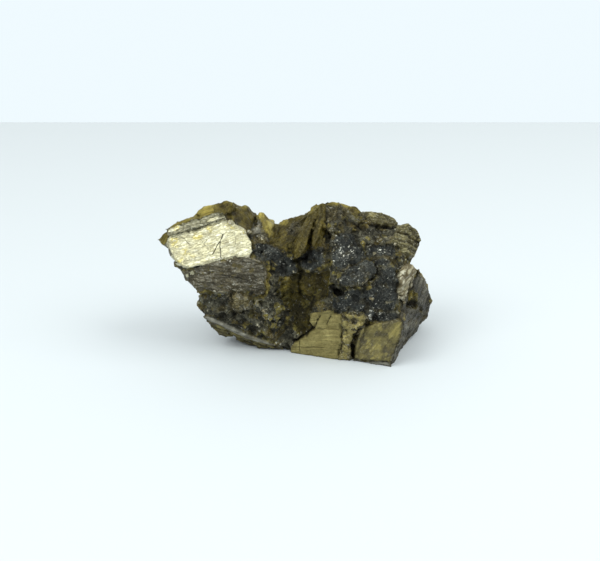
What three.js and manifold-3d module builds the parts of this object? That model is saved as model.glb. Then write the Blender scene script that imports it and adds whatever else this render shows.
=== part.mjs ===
// A hand specimen of bronzite in its rock: one natural piece, broken off a larger mass.
// Coarse bronzite crystals, with flat cleavage faces, sit in a dark granular matrix.
// Units are millimetres. +X is to the right, +Y to the back, +Z up, and the specimen
// rests on a flat cleavage face at Z = 0.
import * as THREE from "three";
import { ConvexGeometry } from "three/addons/geometries/ConvexGeometry.js";
import { TessellateModifier } from "three/addons/modifiers/TessellateModifier.js";
import { mergeVertices } from "three/addons/utils/BufferGeometryUtils.js";
import { SimplexNoise } from "three/addons/math/SimplexNoise.js";
import Module from "manifold-3d";

const wasm = await Module();
wasm.setup();

// ---- Driving dimensions ------------------------------------------------------------

const FACET_SIZE = 3.4; // longest edge left on the broken surface
const FACET_PASSES = 12; // enough halvings to reach that size from the longest edge
const SWELL_SIZE = 7.0; // spacing of the broad swells of a broken surface
const SWELL_DEPTH = 0.55;
const CHIP_SIZE = 2.6; // spacing of the small chips
const CHIP_DEPTH = 0.3;
const SIDE_SHIFT = 31.4; // moves the noise along, so that the three pushes differ
const CLEAVAGE_REACH = 0.9; // a cleavage face stays smooth this far from its plane
const CLEAVAGE_SHARE = 0.15; // how much of the roughness a cleavage face keeps
const PLATE = 0.7; // thickness of the plates left on the bronze face
const UNDER = -1; // blocks that rest reach this low, and are cut flat at 0 later
const FLOOR_SIDE = 200; // the slab that cuts them is wider than the stone
const FLOOR_DEPTH = 6;
const SAME_PLACE = 1e-4; // corners closer than this are one corner
const SEED = 7;
const STONE = { color: 0x4b4838, roughness: 0.6, metalness: 0.1 };

// Each cleavage face: a point on it, the way it looks, and how far it spreads.
const FACES = {
  bronze: { at: [-19, -7, 27], looks: [-0.36, -1, 1.05], spread: 13 },
  slate: { at: [-15, -10, 21], looks: [-0.12, -1, -0.2], spread: 7 },
  leftFoot: { at: [5.5, -8.5, 6], looks: [-0.35, -1, 0.12], spread: 8.5 },
  rightFoot: { at: [19.5, -13, 5.5], looks: [-0.37, -1, 0.14], spread: 8 },
  back: { at: [4, 13, 12], looks: [0.16, 1, 0.28], spread: 11 },
};

// Corners [x, z] laid on a cleavage face, or on a plate that stands `out` from it.
function onFace({ at, looks }, outline, out = 0) {
  const length = Math.hypot(...looks);
  return outline.map(([x, z]) => {
    const slope = looks[0] * (x - at[0]) + looks[2] * (z - at[2]);
    return [x, at[1] + (out * length - slope) / looks[1], z];
  });
}

// ---- Blocks that have grown together -----------------------------------------------
// Each block is the convex solid of its corners, [x, y, z].

const GROWN = {
  // The wedge at the upper left. Its bronze cleavage face looks up and forwards.
  bronzeCrystal: [
    ...onFace(FACES.bronze, [
      [-29.5, 27], [-28, 24.5], [-25, 22.5], [-15, 25.3], [-10, 26], [-9.5, 27],
      [-10, 29], [-14, 32], [-16, 32.5], [-24.5, 29.5],
    ]),
    [-28.5, -5, 23.7], [-26.5, 1, 29.5], [-22, 3, 32], [-16, 4, 33], [-27, 7, 26], [-18, 10, 30],
    [-12, 10, 29], [-8, 8, 24], [-22, 5, 17], [-14, 7, 13], [-7, 7, 14],
  ],
  // Thin plates of the same crystal that are left standing on its upper edge.
  bronzePlates: [
    ...onFace(FACES.bronze, [
      [-29, 28], [-30, 29.3], [-28, 30.5], [-25.5, 31.5], [-20.5, 32.4], [-17, 33],
      [-15.5, 33], [-16, 32.4], [-20, 31.2], [-24.3, 29.7],
    ], PLATE),
    [-26, 3, 28], [-16, 5, 31],
  ],
  bronzeRim: [
    [-23.3, -1, 32.4], [-20, -2, 32.5], [-16.5, -2.5, 33.3], [-14, -2.5, 33.5],
    [-22.3, 0.5, 33.3], [-20, 0.5, 34], [-17.5, 0.5, 35], [-16, 1, 35.5],
    [-14.3, 0, 35.3],
    [-22, 5, 30], [-15, 7, 31], [-13, 3, 31],
  ],
  leftTip: [
    [-32, -2, 27], [-31, -2.5, 28.3], [-30, -2.5, 29], [-29, -3.5, 28],
    [-29.5, -4, 25.5], [-31, -3, 26], [-27, 1, 28], [-28, 2, 25],
  ],
  crystalCap: [
    [-15, 4, 34], [-13.5, 3.5, 33.3], [-11.6, 3.5, 32.8], [-10.8, 3, 31.5], [-9.5, 2.5, 30],
    [-9.3, -1, 29.3], [-10, -5, 29.5], [-12.5, -5, 31], [-14, -3.5, 32.3],
    [-15.5, -0.5, 33.5], [-13, 9, 31], [-9, 8, 29], [-8, 6, 24], [-16, 8, 28],
  ],
  // The flaky side of the wedge, under the bronze face.
  slateSide: [
    ...onFace(FACES.slate, [
      [-25, 22], [-10, 26], [-6.5, 24.5], [-6, 16], [-14, 14.5], [-22, 15], [-24.5, 19],
    ]),
    [-28, -5, 22.5], [-27, -5, 20.8], [-26.3, -5, 19.3], [-25, -5, 17.3], [-22, 2, 16],
    [-7, 2, 15], [-7, 2, 24], [-12, 4, 26], [-22, 4, 23],
  ],
  // Dark granular rock under the wedge.
  lowerLeft: [
    [-22, -6, 15], [-15, -9, 15.7], [-6, -9.5, 16.6], [-2.5, -8, 14.5], [-0.5, -6.5, 2.8],
    [-5.3, -6.5, 2.3], [-13, -6, 5.3], [-21, -5, 7.7], [-23, -5, 13.5], [-22.9, -4, 10.5],
    [-21.8, -4, 8.3],
    [-22, 4, 14], [-20, 5, 9], [-12, 8, 4], [-2, 10, 2], [-2, 10, 14],
  ],
  brownLump: [
    [-16.1, -9, 15.1], [-13, -10.5, 16.3], [-10.4, -10, 15.3], [-9.9, -9.5, 14],
    [-11.5, -9, 10.9], [-14.1, -9, 10.9], [-15.1, -9.3, 12.5],
    [-15, -3, 15], [-10, -3, 12], [-14, -3, 10],
  ],
  // A low ledge along the foot of the overhang, with a smooth bevelled edge.
  lowerLedge: [
    [-21.2, -4.5, 7.6], [-20.7, -4, 6], [-5, -6.5, 1.7], [-5.5, -5.3, 0], [-11, -5, 1.5],
    [-20, -3.5, 5.2], [-18, 5, 5], [-8, 8, UNDER], [-3, 6, UNDER], [-3, -4.7, UNDER],
    [-3, -6, 2], [-6, -4, 5],
  ],
  underLedge: [
    [-20, -3, 4.6], [-18.4, -2.5, 2.8], [-15.5, -3, 2], [-11, -3.7, 0.3],
    [-5.5, -4.3, UNDER], [-5.5, -5, 1.5], [-16, 5, 3], [-8, 8, UNDER], [-3, 6, UNDER],
    [-3, -4, UNDER], [-10, 2, 5],
  ],
  // The hollow between the two ends, in two slopes that meet in an upright groove.
  hollowLeft: [
    [-7.5, -9, 25.5], [-7.5, -10, 16], [-4.5, -7, 2.5], [1, -5.5, 2.5], [2, -4.5, 12.5],
    [1.5, -4, 22.5], [-1, -5, 25], [-6, 4, 26], [-6, 4, 2], [2, 4, 2], [2, 4, 24],
  ],
  hollowRight: [
    [1.5, -4, 22.5], [8.5, -6.5, 26.5], [9.8, -10, 19], [9.5, -11, 12], [3.2, -7, 10],
    [2, -4.5, 12.5], [2, 4, 24], [10, 4, 26], [10, 4, 8], [2, 4, 8],
  ],
  hollowKnob: [
    [-3.2, -9, 20], [-1, -8.5, 20.5], [-0.2, -8, 19], [-0.3, -7.8, 16.8], [-1.7, -8.3, 15.3],
    [-3.6, -9, 15.8], [-4, -9.2, 17.8], [-4, -2, 19], [-1, -2, 18], [-3, -2, 14],
  ],
  // Small crystals on the saddle between the wedge and the fins.
  saddleKnob: [
    [-9.5, 0, 30.5], [-8, 2.5, 31.7], [-6.8, 2.5, 30], [-5, 3, 28.5], [-4.5, -1, 27],
    [-6, -4.5, 25], [-9, -6.5, 25.5], [-10, -5.5, 28.5], [-9, -3, 30], [-8, 8, 28],
    [-4, 8, 26], [-6, 4, 22],
  ],
  saddleSlope: [
    [-4.5, 4.5, 28.5], [-2.5, 4.5, 29], [-1, 4.5, 28.9], [2.5, 4.5, 30.6], [4, 4.5, 32],
    [-6, -5, 25], [-2.5, -6, 23.5], [1, -5.5, 23], [5, -3, 26], [-5, 9, 26],
    [4, 9, 28], [4, 4, 22],
  ],
  // Upright blades of olive bronzite, seen on edge: long leaves that end in points.
  leftFin: [
    [4, 2.5, 33], [5.3, 2.5, 34], [3.2, -0.5, 31], [2, -3, 29], [0, -5, 26.7], [-0.3, -6.5, 25],
    [0.7, -7.5, 23.8], [2.3, -7.5, 25.5], [3.5, -5.5, 28], [4.5, -3, 29.7],
    [5, -0.5, 31.8], [1, 6, 28], [4, 6, 28], [2, 2, 22],
  ],
  rightFin: [
    [5.8, 2.5, 34.2], [5.5, -0.5, 31.5], [4.5, -3, 29.7], [4, -5.5, 28], [4.3, -7.3, 26.2],
    [5.6, -5, 27.7], [6.7, -2.5, 29.6], [7.3, 0, 31.5], [7.6, 1.8, 34.3], [4.5, 7, 30],
    [8, 7, 30], [6, 0, 22],
  ],
  // The dark right half, from its top down.
  topLump: [
    [7.2, 3, 34.7], [9, 3, 34.7], [10.7, 3.5, 34.2], [12.5, 3.5, 33.5], [14, 3.5, 33.3],
    [15.3, 3.5, 32.2], [16.5, 3, 31.5], [16, -1, 30], [13, -4, 28], [9.5, -4.5, 27.5],
    [6.5, -2, 30], [8, 8, 31], [15, 8, 30], [12, 2, 24],
  ],
  bandedTop: [
    [15.5, 4, 31], [18.5, 4.5, 31.2], [20.5, 4.5, 31], [23, 4.5, 30.4],
    [24.3, 4, 29.6], [24.7, 3, 28], [24.5, -1.5, 26], [20, -4, 26], [15.5, -3.5, 28.5],
    [15, 2, 30.8], [15, 9, 29], [23, 10, 27], [20, 4, 22],
  ],
  bandedKnob: [
    [23.8, 4, 27.8], [25, 4.5, 27.6], [27, 4.5, 27.7], [28.9, 4, 27.4], [29.8, 3, 26.6],
    [30, 2.5, 25], [29.7, 2, 23.3], [28.5, 1, 20.8], [28, 0.5, 19.3], [24.5, -4, 21], [22.5, -4, 25],
    [23, 1, 27.8], [28, 10, 25], [24, 11, 26], [24, 8, 18],
  ],
  sparklingSide: [
    [8.4, -5.5, 28], [10.6, -4, 30], [15.2, -4, 29], [18.6, -5, 26], [17.9, -7.5, 23],
    [12.8, -9, 21.5], [9.4, -10, 19.8], [8.2, -8, 24.5], [7.8, -6.5, 26],
    [9, 4, 26], [17, 4, 26], [14, 2, 18],
  ],
  darkLedge: [
    [9.3, -10.5, 19.3], [12.6, -8.5, 22.8], [17.8, -8, 23.5], [18.5, -9.5, 21.5],
    [16.8, -12, 20.6], [14.4, -12.5, 19.3], [10.9, -12, 18.8], [10, 2, 22], [18, 2, 22],
    [17, -2, 14], [11, -2, 14],
  ],
  darkRight: [
    [18.5, -6, 24.2], [24.3, -4.5, 23.7], [24.1, -7, 19.6], [24, -9, 15.9], [24, -11.5, 11.5],
    [19.2, -12.5, 11.3], [16.7, -12, 15.3], [16.1, -11, 19.1], [18, 4, 24], [26, 4, 22],
    [26, 2, 10], [18, 2, 10],
  ],
  darkFoot: [
    [11.9, -11.5, 18.2], [16.8, -12, 18.9], [18.2, -12.5, 15.4], [18.2, -12.8, 10.2],
    [10.5, -10.5, 12], [7.5, -10, 13.8], [9.6, -10.5, 16.2], [10, 2, 16], [18, 2, 16],
    [14, 0, 8],
  ],
  // A pale flake that stands on the right edge of the dark face.
  paleFlake: [
    [25, -4.5, 21], [27.5, -2.5, 20.7], [28.5, -2, 18.5], [28, -2.5, 17], [27.2, -4, 15.5],
    [26.2, -5.5, 14], [25.4, -7, 13], [24.4, -8.5, 15.3], [24.2, -8.2, 18],
    [24.3, -6.5, 20], [26, 3, 20], [28, 3, 17], [26, 2, 12],
  ],
  rightEnd: [
    [26, -4, 15.5], [29.5, 4, 15.6], [30.8, 5, 15.5], [32, 5, 13.7], [32.6, 6, 10.5],
    [33.4, 6, 8.3], [33.4, 6, 5.2], [33, 7, 2.5], [29, 2.5, 0.8], [26, -4, 0.2],
    [25, -11, 9.5], [25.3, -7, 12.5], [29, 12, 14], [31, 13, 4], [22, 12, 14],
    [22, 8, 2],
  ],
  // Bronzite crystals at the foot, each with an upright cleavage face.
  leftFoot: [
    ...onFace(FACES.leftFoot, [
      [-1, UNDER], [-1, 1], [0.3, 4], [3.3, 8.5], [4, 11], [10.5, 11.5], [11.5, UNDER],
    ]),
    [-1, 4, UNDER], [4, 4, 12], [12, 4, 12], [12, 4, UNDER],
  ],
  middleFoot: [
    [10.8, -11.3, 12], [14.5, -12.5, 12.3], [16.8, -12.5, 12], [15.8, -12.5, 8.5],
    [14, -12.2, 5.5], [13.6, -12, UNDER], [10.8, -10.9, UNDER], [11, 2, UNDER],
    [16, 2, UNDER], [16, 2, 11], [11, 2, 11],
  ],
  rightFoot: [
    ...onFace(FACES.rightFoot, [
      [13.8, UNDER], [14.5, 5], [16, 8.5], [18.5, 9.5], [21, 10.5], [24.2, 12.3],
      [25.2, 11.5], [25, 9.5], [24.3, 6], [22.2, UNDER],
    ]),
    [27, 0, UNDER], [29.5, 2, 10], [14, 4, UNDER], [16, 4, 11],
  ],
  // The middle of the stone.
  leftHeart: [
    [-22, -3, 13], [-24, -1, 23], [-14, -4, 26], [-7, -6, 24], [-5, -6, 10], [-8, -4, 3],
    [-17, -3, 6], [-22, 8, 14], [-22, 9, 24], [-12, 12, 28], [-2, 12, 24], [-2, 12, 6],
    [-12, 9, 6],
  ],
  middleHeart: [
    [-8, -5, 3], [-7, -6, 22], [-6, 0, 26], [2, -3.5, 22.5], [8, -5.5, 26], [10, -9.5, 12],
    [11, -9.5, UNDER], [0, -4.5, UNDER], [-5, -4, UNDER], [6, 2, 31], [4, 8, 30],
    [-6, 8, 26], [-6, 11, 3], [-2, 13, 20], [8, 14, 24], [12, 12, 2], [12, 10, 28],
  ],
  rightHeart: [
    [11, -9.5, UNDER], [22, -13, UNDER], [24, -11, 10.5], [17, -11.5, 11],
    [10, -9.5, 12], [9.5, -9.5, 17], [17, -10, 18], [23.5, -8.5, 15], [23.5, -6.5, 20],
    [18, -6, 23.5], [9.5, -7, 23], [9, -4.5, 27], [16, -3.5, 28], [23, -2, 26],
    [10, 2, 31], [20, 2, 29], [27, 3, 25], [28, 3, 14], [29, 3, 2], [27, 11, 14],
    [24, 13, 2], [10, 13, 2], [10, 13, 24], [20, 12, 26], [27, 9, 24],
  ],
  // The back, broken in big steps round one more cleavage face.
  backCrystal: [
    ...onFace(FACES.back, [
      [-7, 4], [-9, 10], [-6, 20], [2, 26], [12, 25], [18, 20], [20, 11], [18, 4], [6, 3],
    ]),
    [-6, 4, 4], [-6, 4, 20], [18, 2, 20], [18, 2, 4],
  ],
  backLeft: [
    [-27, 5, 25], [-22, 9.5, 26], [-14, 12.5, 27], [-9, 13, 20], [-12, 12, 9],
    [-20, 8, 14], [-24.5, 6, 18], [-10, 2, 22], [-18, 0, 18],
  ],
  backRight: [
    [18, 11.5, 25], [27, 9.5, 22], [28.5, 10.5, 14], [28, 13, 6], [20, 14, 3],
    [16.5, 13.5, 13], [20, 2, 20], [20, 2, 4], [26, 4, 12],
  ],
  backTop: [
    [2, 8.5, 29.5], [8, 8.5, 31.5], [15, 9, 30.5], [12, 11.5, 26], [2, 11.5, 26],
    [2, 3, 28], [12, 3, 28], [6, 4, 22],
  ],
  backFoot: [
    [-7, 8, UNDER], [-10, 12.5, 3], [-3, 15, 2], [5, 15, UNDER], [13, 14, UNDER],
    [20, 13.5, 2], [26, 11, UNDER], [20, 4, UNDER], [0, 4, UNDER], [0, 8, 8], [18, 8, 8],
  ],
};

// ---- Pieces that have broken out ---------------------------------------------------

const BROKEN_OUT = {
  // A dark pit under the ledge.
  pit: [
    [7.8, -12, 17.8], [9.4, -13, 19.2], [11.7, -14, 18], [9.9, -14, 16], [8.6, -13, 16.8],
    [9.5, -7.5, 16.8], [10.5, -7.5, 16],
  ],
  // An open crack between the two big crystals of the foot.
  footCrack: [
    [13.1, -15, -2], [14.1, -15, -2], [13.3, -15, 5], [15.8, -15, 9], [14.2, -15, 6],
    [13.6, -10, -2], [13.8, -10, 5], [15, -11, 8],
  ],
  // A narrow cleft beside the brown lump.
  cleft: [
    [-15.6, -12, 15.5], [-15, -12, 15.3], [-13.6, -12, 11], [-14.4, -12, 10.8],
    [-14.6, -8, 13],
  ],
  // A split down the upright blades.
  finSplit: [
    [5, 0, 34], [5.5, 0, 33.8], [2.5, -9, 25.5], [3.8, -9, 26], [4.8, 1.5, 31],
    [3, -4, 25],
  ],
  // A notch in the skyline between the wedge and the saddle.
  saddleNotch: [
    [-10, -2, 33], [-8.8, -3, 32], [-9.3, -5, 29], [-9.3, 6, 33], [-8.9, 6, 31],
    [-9.2, 0, 28.8],
  ],
};

// ---- Building ----------------------------------------------------------------------

// A closed three.js geometry as a manifold-3d solid.
function solidOf(geometry) {
  const bare = new THREE.BufferGeometry();
  bare.setAttribute("position", geometry.getAttribute("position"));
  if (geometry.index) bare.setIndex(geometry.index);
  const merged = mergeVertices(bare, SAME_PLACE);
  return new wasm.Manifold(
    new wasm.Mesh({
      numProp: 3,
      vertProperties: merged.getAttribute("position").array,
      triVerts: new Uint32Array(merged.index.array),
    }),
  );
}

function geometryOf(solid) {
  const mesh = solid.getMesh();
  const geometry = new THREE.BufferGeometry();
  geometry.setAttribute("position", new THREE.BufferAttribute(mesh.vertProperties, 3));
  geometry.setIndex(new THREE.BufferAttribute(mesh.triVerts, 1));
  return geometry;
}

function block(corners) {
  return solidOf(new ConvexGeometry(corners.map((c) => new THREE.Vector3(...c))));
}

// Repeatable random numbers from 0 to 1, by Park and Miller's generator.
const STRIDE = 16807;
const CYCLE = 2 ** 31 - 1;

function seeded(seed) {
  let state = seed;
  return () => {
    state = (state * STRIDE) % CYCLE;
    return state / CYCLE;
  };
}

const noise = new SimplexNoise({ random: seeded(SEED) });

// A smooth random push that repeats about every `size`, up to `depth` long.
function push(point, size, depth) {
  const { x, y, z } = point.clone().divideScalar(size);
  return new THREE.Vector3(
    noise.noise3d(x, y, z),
    noise.noise3d(x + SIDE_SHIFT, y, z),
    noise.noise3d(x, y + SIDE_SHIFT, z),
  ).multiplyScalar(depth);
}

// How rough the stone is at a point: 1 where it broke, little on a cleavage face.
function roughness(point) {
  const shares = Object.values(FACES).map(({ at, looks, spread }) => {
    const offset = point.clone().sub(new THREE.Vector3(...at));
    const normal = new THREE.Vector3(...looks).normalize();
    const past = Math.abs(offset.dot(normal)) - CLEAVAGE_REACH / 2;
    const beyond = offset.length() - spread;
    return Math.min(1, Math.max(CLEAVAGE_SHARE, past / CLEAVAGE_REACH, beyond));
  });
  return Math.min(...shares);
}

// Cut the faces small, then push their corners about to make a broken surface.
function weathered(solid) {
  const flat = geometryOf(solid).toNonIndexed();
  const fine = new TessellateModifier(FACET_SIZE, FACET_PASSES).modify(flat);
  const rough = mergeVertices(fine, SAME_PLACE);
  const corners = rough.getAttribute("position");
  const point = new THREE.Vector3();
  for (let i = 0; i < corners.count; i += 1) {
    point.fromBufferAttribute(corners, i);
    const swell = push(point, SWELL_SIZE, SWELL_DEPTH);
    const chip = push(point, CHIP_SIZE, CHIP_DEPTH);
    point.addScaledVector(swell.add(chip), roughness(point));
    corners.setXYZ(i, point.x, point.y, point.z);
  }
  return solidOf(rough);
}

const grown = Object.values(GROWN)
  .map(block)
  .reduce((whole, next) => whole.add(next));
const broken = Object.values(BROKEN_OUT)
  .map(block)
  .reduce((whole, next) => whole.subtract(next), grown);

const slab = new THREE.BoxGeometry(FLOOR_SIDE, FLOOR_SIDE, FLOOR_DEPTH);
slab.translate(0, 0, -FLOOR_DEPTH / 2);
const stone = geometryOf(weathered(broken).subtract(solidOf(slab)));

// Stand the stone on the middle of its own footprint.
stone.computeBoundingBox();
const middle = stone.boundingBox.getCenter(new THREE.Vector3());
stone.translate(-middle.x, -middle.y, -stone.boundingBox.min.z);

const specimen = new THREE.Mesh(stone, new THREE.MeshStandardMaterial(STONE));
specimen.name = "bronzite_specimen";

const group = new THREE.Group();
group.add(specimen);
export default group;
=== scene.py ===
# %% [markdown]
# # A bronzite hand specimen
# Bronzite is a mineral that splits along flat planes with a bronze shine. This stone is one
# broken lump of it. It has a bright bronze face at the upper left, duller ones at its foot,
# olive blades, waxy brown crystals and banded lumps round them, and dark glassy grains between.
#
# The CAD solid already has the right size, place and broken blocks. This lesson builds the looks
# around it: the grains, cleavage steps, fibres and cracks that a few thousand faces can't hold,
# and the finish of each mineral.

# %% The CAD frame
import math

import bpy
import numpy as np
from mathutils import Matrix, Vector, noise


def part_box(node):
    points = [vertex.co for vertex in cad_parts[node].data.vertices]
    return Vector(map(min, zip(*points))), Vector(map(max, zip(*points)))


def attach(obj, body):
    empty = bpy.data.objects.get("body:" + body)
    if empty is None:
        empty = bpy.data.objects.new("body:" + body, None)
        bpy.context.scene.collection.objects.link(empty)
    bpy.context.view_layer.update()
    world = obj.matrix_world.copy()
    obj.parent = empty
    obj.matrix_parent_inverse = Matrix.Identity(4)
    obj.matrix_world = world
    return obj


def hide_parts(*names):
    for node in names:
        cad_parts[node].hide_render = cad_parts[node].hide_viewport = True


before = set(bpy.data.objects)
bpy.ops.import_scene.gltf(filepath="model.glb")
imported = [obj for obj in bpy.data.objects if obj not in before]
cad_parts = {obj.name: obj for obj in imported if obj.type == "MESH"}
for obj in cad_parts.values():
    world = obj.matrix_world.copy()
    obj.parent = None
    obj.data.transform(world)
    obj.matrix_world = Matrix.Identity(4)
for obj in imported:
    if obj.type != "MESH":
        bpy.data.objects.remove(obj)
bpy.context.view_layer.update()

MM = 0.001
STONE_NODE = "bronzite_specimen"
low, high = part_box(STONE_NODE)
middle, size = (low + high) / 2, high - low
print("stone, in mm:", [round(side / MM, 1) for side in size])

# %% [markdown]
# ## Operators on one piece
# The modifiers are applied by operators, as by hand. An operator acts on all that is selected,
# and loading the frame leaves the CAD nodes selected. So each helper first deselects everything
# and then picks its own piece, which is safer than trusting what an earlier step left selected.

# %% Helpers for operators
def select_only(piece):
    bpy.ops.object.select_all(action="DESELECT")
    piece.select_set(True)
    bpy.context.view_layer.objects.active = piece


def apply_modifier(piece, kind, **settings):
    select_only(piece)
    modifier = piece.modifiers.new(kind.lower(), kind)
    for name, value in settings.items():
        setattr(modifier, name, value)
    bpy.ops.object.modifier_apply(modifier=modifier.name)


def triangles(piece):
    return sum(len(face.vertices) - 2 for face in piece.data.polygons)


print("triangles in the CAD solid:", triangles(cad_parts[STONE_NODE]))

# %% [markdown]
# ## Maths with sockets
# The relief and the finish are trees of a few hundred nodes each. They could be wired by hand in
# the node editor, but so many links are hard to read and to change. Here a small class wraps one
# output socket and takes part in sums, so that 1 - mask * 0.5 adds its own Math nodes, and one
# method adds any other node.

# %% A socket that takes part in sums
class Wire:
    """One output socket that can be used in sums as if it were a number."""

    def __init__(self, graph, socket):
        self.graph, self.socket = graph, socket

    def math(self, operation, *others):
        return self.graph.value(operation, self, *others)

    def __add__(self, other):
        return self.math("ADD", other)

    def __mul__(self, other):
        return self.math("MULTIPLY", other)

    def __truediv__(self, other):
        return self.math("DIVIDE", other)

    def __sub__(self, other):
        return self.math("SUBTRACT", other)

    def __rsub__(self, other):
        return self.graph.value("SUBTRACT", other, self)

    def __pow__(self, other):
        return self.math("POWER", other)

    __radd__ = __add__
    __rmul__ = __mul__


class Node:
    """A node whose outputs are read by name or number."""

    def __init__(self, graph, node):
        self.graph, self.node = graph, node

    def __getitem__(self, name):
        return Wire(self.graph, self.node.outputs[name])


# %% A graph that adds nodes
class Graph:
    """Adds nodes to a shader tree or a geometry tree."""

    def __init__(self, tree):
        self.tree = tree

    def add(self, kind, settings=None, sockets=None):
        node = self.tree.nodes.new(kind)
        for name, value in (settings or {}).items():
            setattr(node, name, value)
        pairs = sockets.items() if isinstance(sockets, dict) else enumerate(sockets or [])
        for name, value in pairs:
            self.set(node, name, value)
        return Node(self, node)

    def set(self, node, name, value):
        if isinstance(value, Wire):
            self.tree.links.new(value.socket, node.inputs[name])
        else:
            node.inputs[name].default_value = value

    def value(self, operation, *inputs):
        return self.add("ShaderNodeMath", {"operation": operation}, inputs)[0]

    def most(self, first, *others):
        for other in others:
            first = self.value("MAXIMUM", first, other)
        return first

    def step(self, value, start, end):
        """0 below start, 1 above end, smooth between."""
        settings = {"interpolation_type": "SMOOTHSTEP"}
        return self.add("ShaderNodeMapRange", settings, {0: value, 1: start, 2: end, 3: 0.0, 4: 1.0})[0]

    def vector(self, operation, *inputs):
        node = self.add("ShaderNodeVectorMath", {"operation": operation}, inputs)
        return node["Value"] if operation == "DOT_PRODUCT" else node["Vector"]

    def scaled(self, vector, share):
        settings = {"operation": "SCALE"}
        return self.add("ShaderNodeVectorMath", settings, {0: vector, "Scale": share})["Vector"]

    def mix(self, share, first, second):
        """Mixes two colours; a plain colour is given as its red, green and blue."""
        ends = [end if isinstance(end, Wire) else (*end, 1) for end in (first, second)]
        return self.add("ShaderNodeMix", {"data_type": "RGBA"}, {0: share, 6: ends[0], 7: ends[1]})[2]


# %% [markdown]
# ## Patterns of rock
# Broken rock has only a few kinds of surface: grains cut by flat faces, fibres and layers that
# run one way, thin cleavage lines, and steps where layers broke off. A printed pattern of rock
# would repeat, and blur close up. So each kind is made here from noise or cells, and the relief
# and the finish both use it. The places that go in are in millimetres.

# %% A graph with the patterns
# How the pyramids' grains are turned, in radians, so that their sides follow no axis.
TURN = (0.6, 0.4, 0.9)


class RockGraph(Graph):
    """A graph that also makes the patterns of broken rock."""

    def noise(self, place, spacing, detail=2.0, rough=0.5):
        """Noise from about -1 to 1 whose lumps are about `spacing` apart."""
        sockets = {"Vector": place, "Scale": 1 / spacing, "Detail": detail, "Roughness": rough}
        return (self.add("ShaderNodeTexNoise", {}, sockets)[0] - 0.5) * 2

    def stirred(self, place, spacing, reach):
        """Pushes a place about, so that cells measured there lose their straight sides."""
        push = self.add("ShaderNodeTexNoise", {}, {"Vector": place, "Scale": 1 / spacing, "Detail": 2.0})
        centred = self.vector("SUBTRACT", push["Color"], (0.5, 0.5, 0.5))
        return self.vector("ADD", place, self.scaled(centred, reach * 2))

    def along_layers(self, place, lay, share):
        """Squeezes a place along the layers, so that noise there runs out into long streaks."""
        along = self.vector("DOT_PRODUCT", place, lay)
        return self.vector("SUBTRACT", place, self.scaled(lay, along * (1 - share)))

    def hairlines(self, place, lay, spacing, width, share=0.1):
        """1 on thin lines that run along the layers about `spacing` apart, 0 between them."""
        wave = self.noise(self.along_layers(place, lay, share), spacing, 1.0)
        return 1 - self.step(self.value("ABSOLUTE", wave), width * 0.3, width)

    def cells(self, place, spacing, distance="EUCLIDEAN"):
        settings = {"distance": distance}
        return self.add("ShaderNodeTexVoronoi", settings, {"Vector": place, "Scale": 1 / spacing})

    def lot(self, cell):
        """Three chance numbers that are the same all over one grain."""
        parts = self.add("ShaderNodeSeparateColor", {}, {0: cell["Color"]})
        return parts[0], parts[1], parts[2]

    def facets(self, place, spacing):
        """Grains, each cut by its own flat face that leans its own way."""
        cell = self.cells(place, spacing)
        inside = self.vector("SUBTRACT", place, cell["Position"])
        lean = self.vector("SUBTRACT", cell["Color"], (0.5, 0.5, 0.5))
        return self.vector("DOT_PRODUCT", inside, lean)

    def pyramids(self, place, spacing):
        """Grains with flat sides that meet in creases; 0 at each top and lower towards the creases."""
        settings = {"rotation_type": "EULER_XYZ"}
        turned = self.add("ShaderNodeVectorRotate", settings, {0: place, "Rotation": TURN})[0]
        return self.cells(turned, spacing, "MANHATTAN")["Distance"] * (-spacing)

    def ledges(self, value, count, sharp=0.75):
        """Turns a smooth value into `count` flat treads with short risers."""
        many = value * count
        return (self.value("FLOOR", many) + self.step(self.value("FRACT", many), sharp, 1.0)) / count


# %% [markdown]
# ## A finer copy of the stone
# The real stone's grains are half a millimetre wide, and the CAD faces are far larger. The
# surface could be sculpted, or made finer by subdivision, which would keep the long thin
# triangles. A voxel remesh of a merged copy gives small even faces all over instead, and leaves
# the size and the place as they are.

# %% Copy the solid
def copy_of_node(node, name):
    piece = bpy.data.objects.new(name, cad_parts[node].data.copy())
    bpy.context.collection.objects.link(piece)
    piece.data.materials.clear()
    select_only(piece)
    bpy.ops.object.mode_set(mode="EDIT")
    bpy.ops.mesh.select_all(action="SELECT")
    bpy.ops.mesh.remove_doubles(threshold=0.001 * MM)
    bpy.ops.object.mode_set(mode="OBJECT")
    return piece


stone = copy_of_node(STONE_NODE, "stone")
print("corners of the merged copy:", len(stone.data.vertices))

# %% Remesh it finely
FINEST = 0.24 * MM
apply_modifier(stone, "REMESH", mode="VOXEL", voxel_size=FINEST)
print("corners after the remesh:", len(stone.data.vertices))

# %% [markdown]
# ## A sheet to draw on
# Each mineral covers a patch of the surface. The patches could be painted on an unwrapped map,
# or made as separate pieces that would show their joins. Here they are drawn as outlines on a
# flat sheet that is held up in front of the stone, and each corner of the mesh is measured
# against them. A corner keeps its distance from the edge in millimetres, so the edges can be
# frayed and softened later. The same sheet takes veins, cracks, grooves and darker places.

# %% Corners and what is stored on them
def unit(vector):
    return np.array(vector, float) / np.linalg.norm(vector)


def corner_values(piece, name):
    values = np.empty(len(piece.data.vertices) * 3, np.float32)
    piece.data.vertices.foreach_get(name, values)
    return values.reshape(-1, 3).astype(float)


def store(piece, name, values):
    flat = values.ndim == 1
    layer = piece.data.attributes.new(name, "FLOAT" if flat else "FLOAT_VECTOR", "POINT")
    layer.data.foreach_set("value" if flat else "vector", values.astype(np.float32).ravel())


places = corner_values(stone, "co")
normals = corner_values(stone, "normal")
print("highest corner, in mm:", round((places[:, 2].max() - low.z) / MM, 2))

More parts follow.
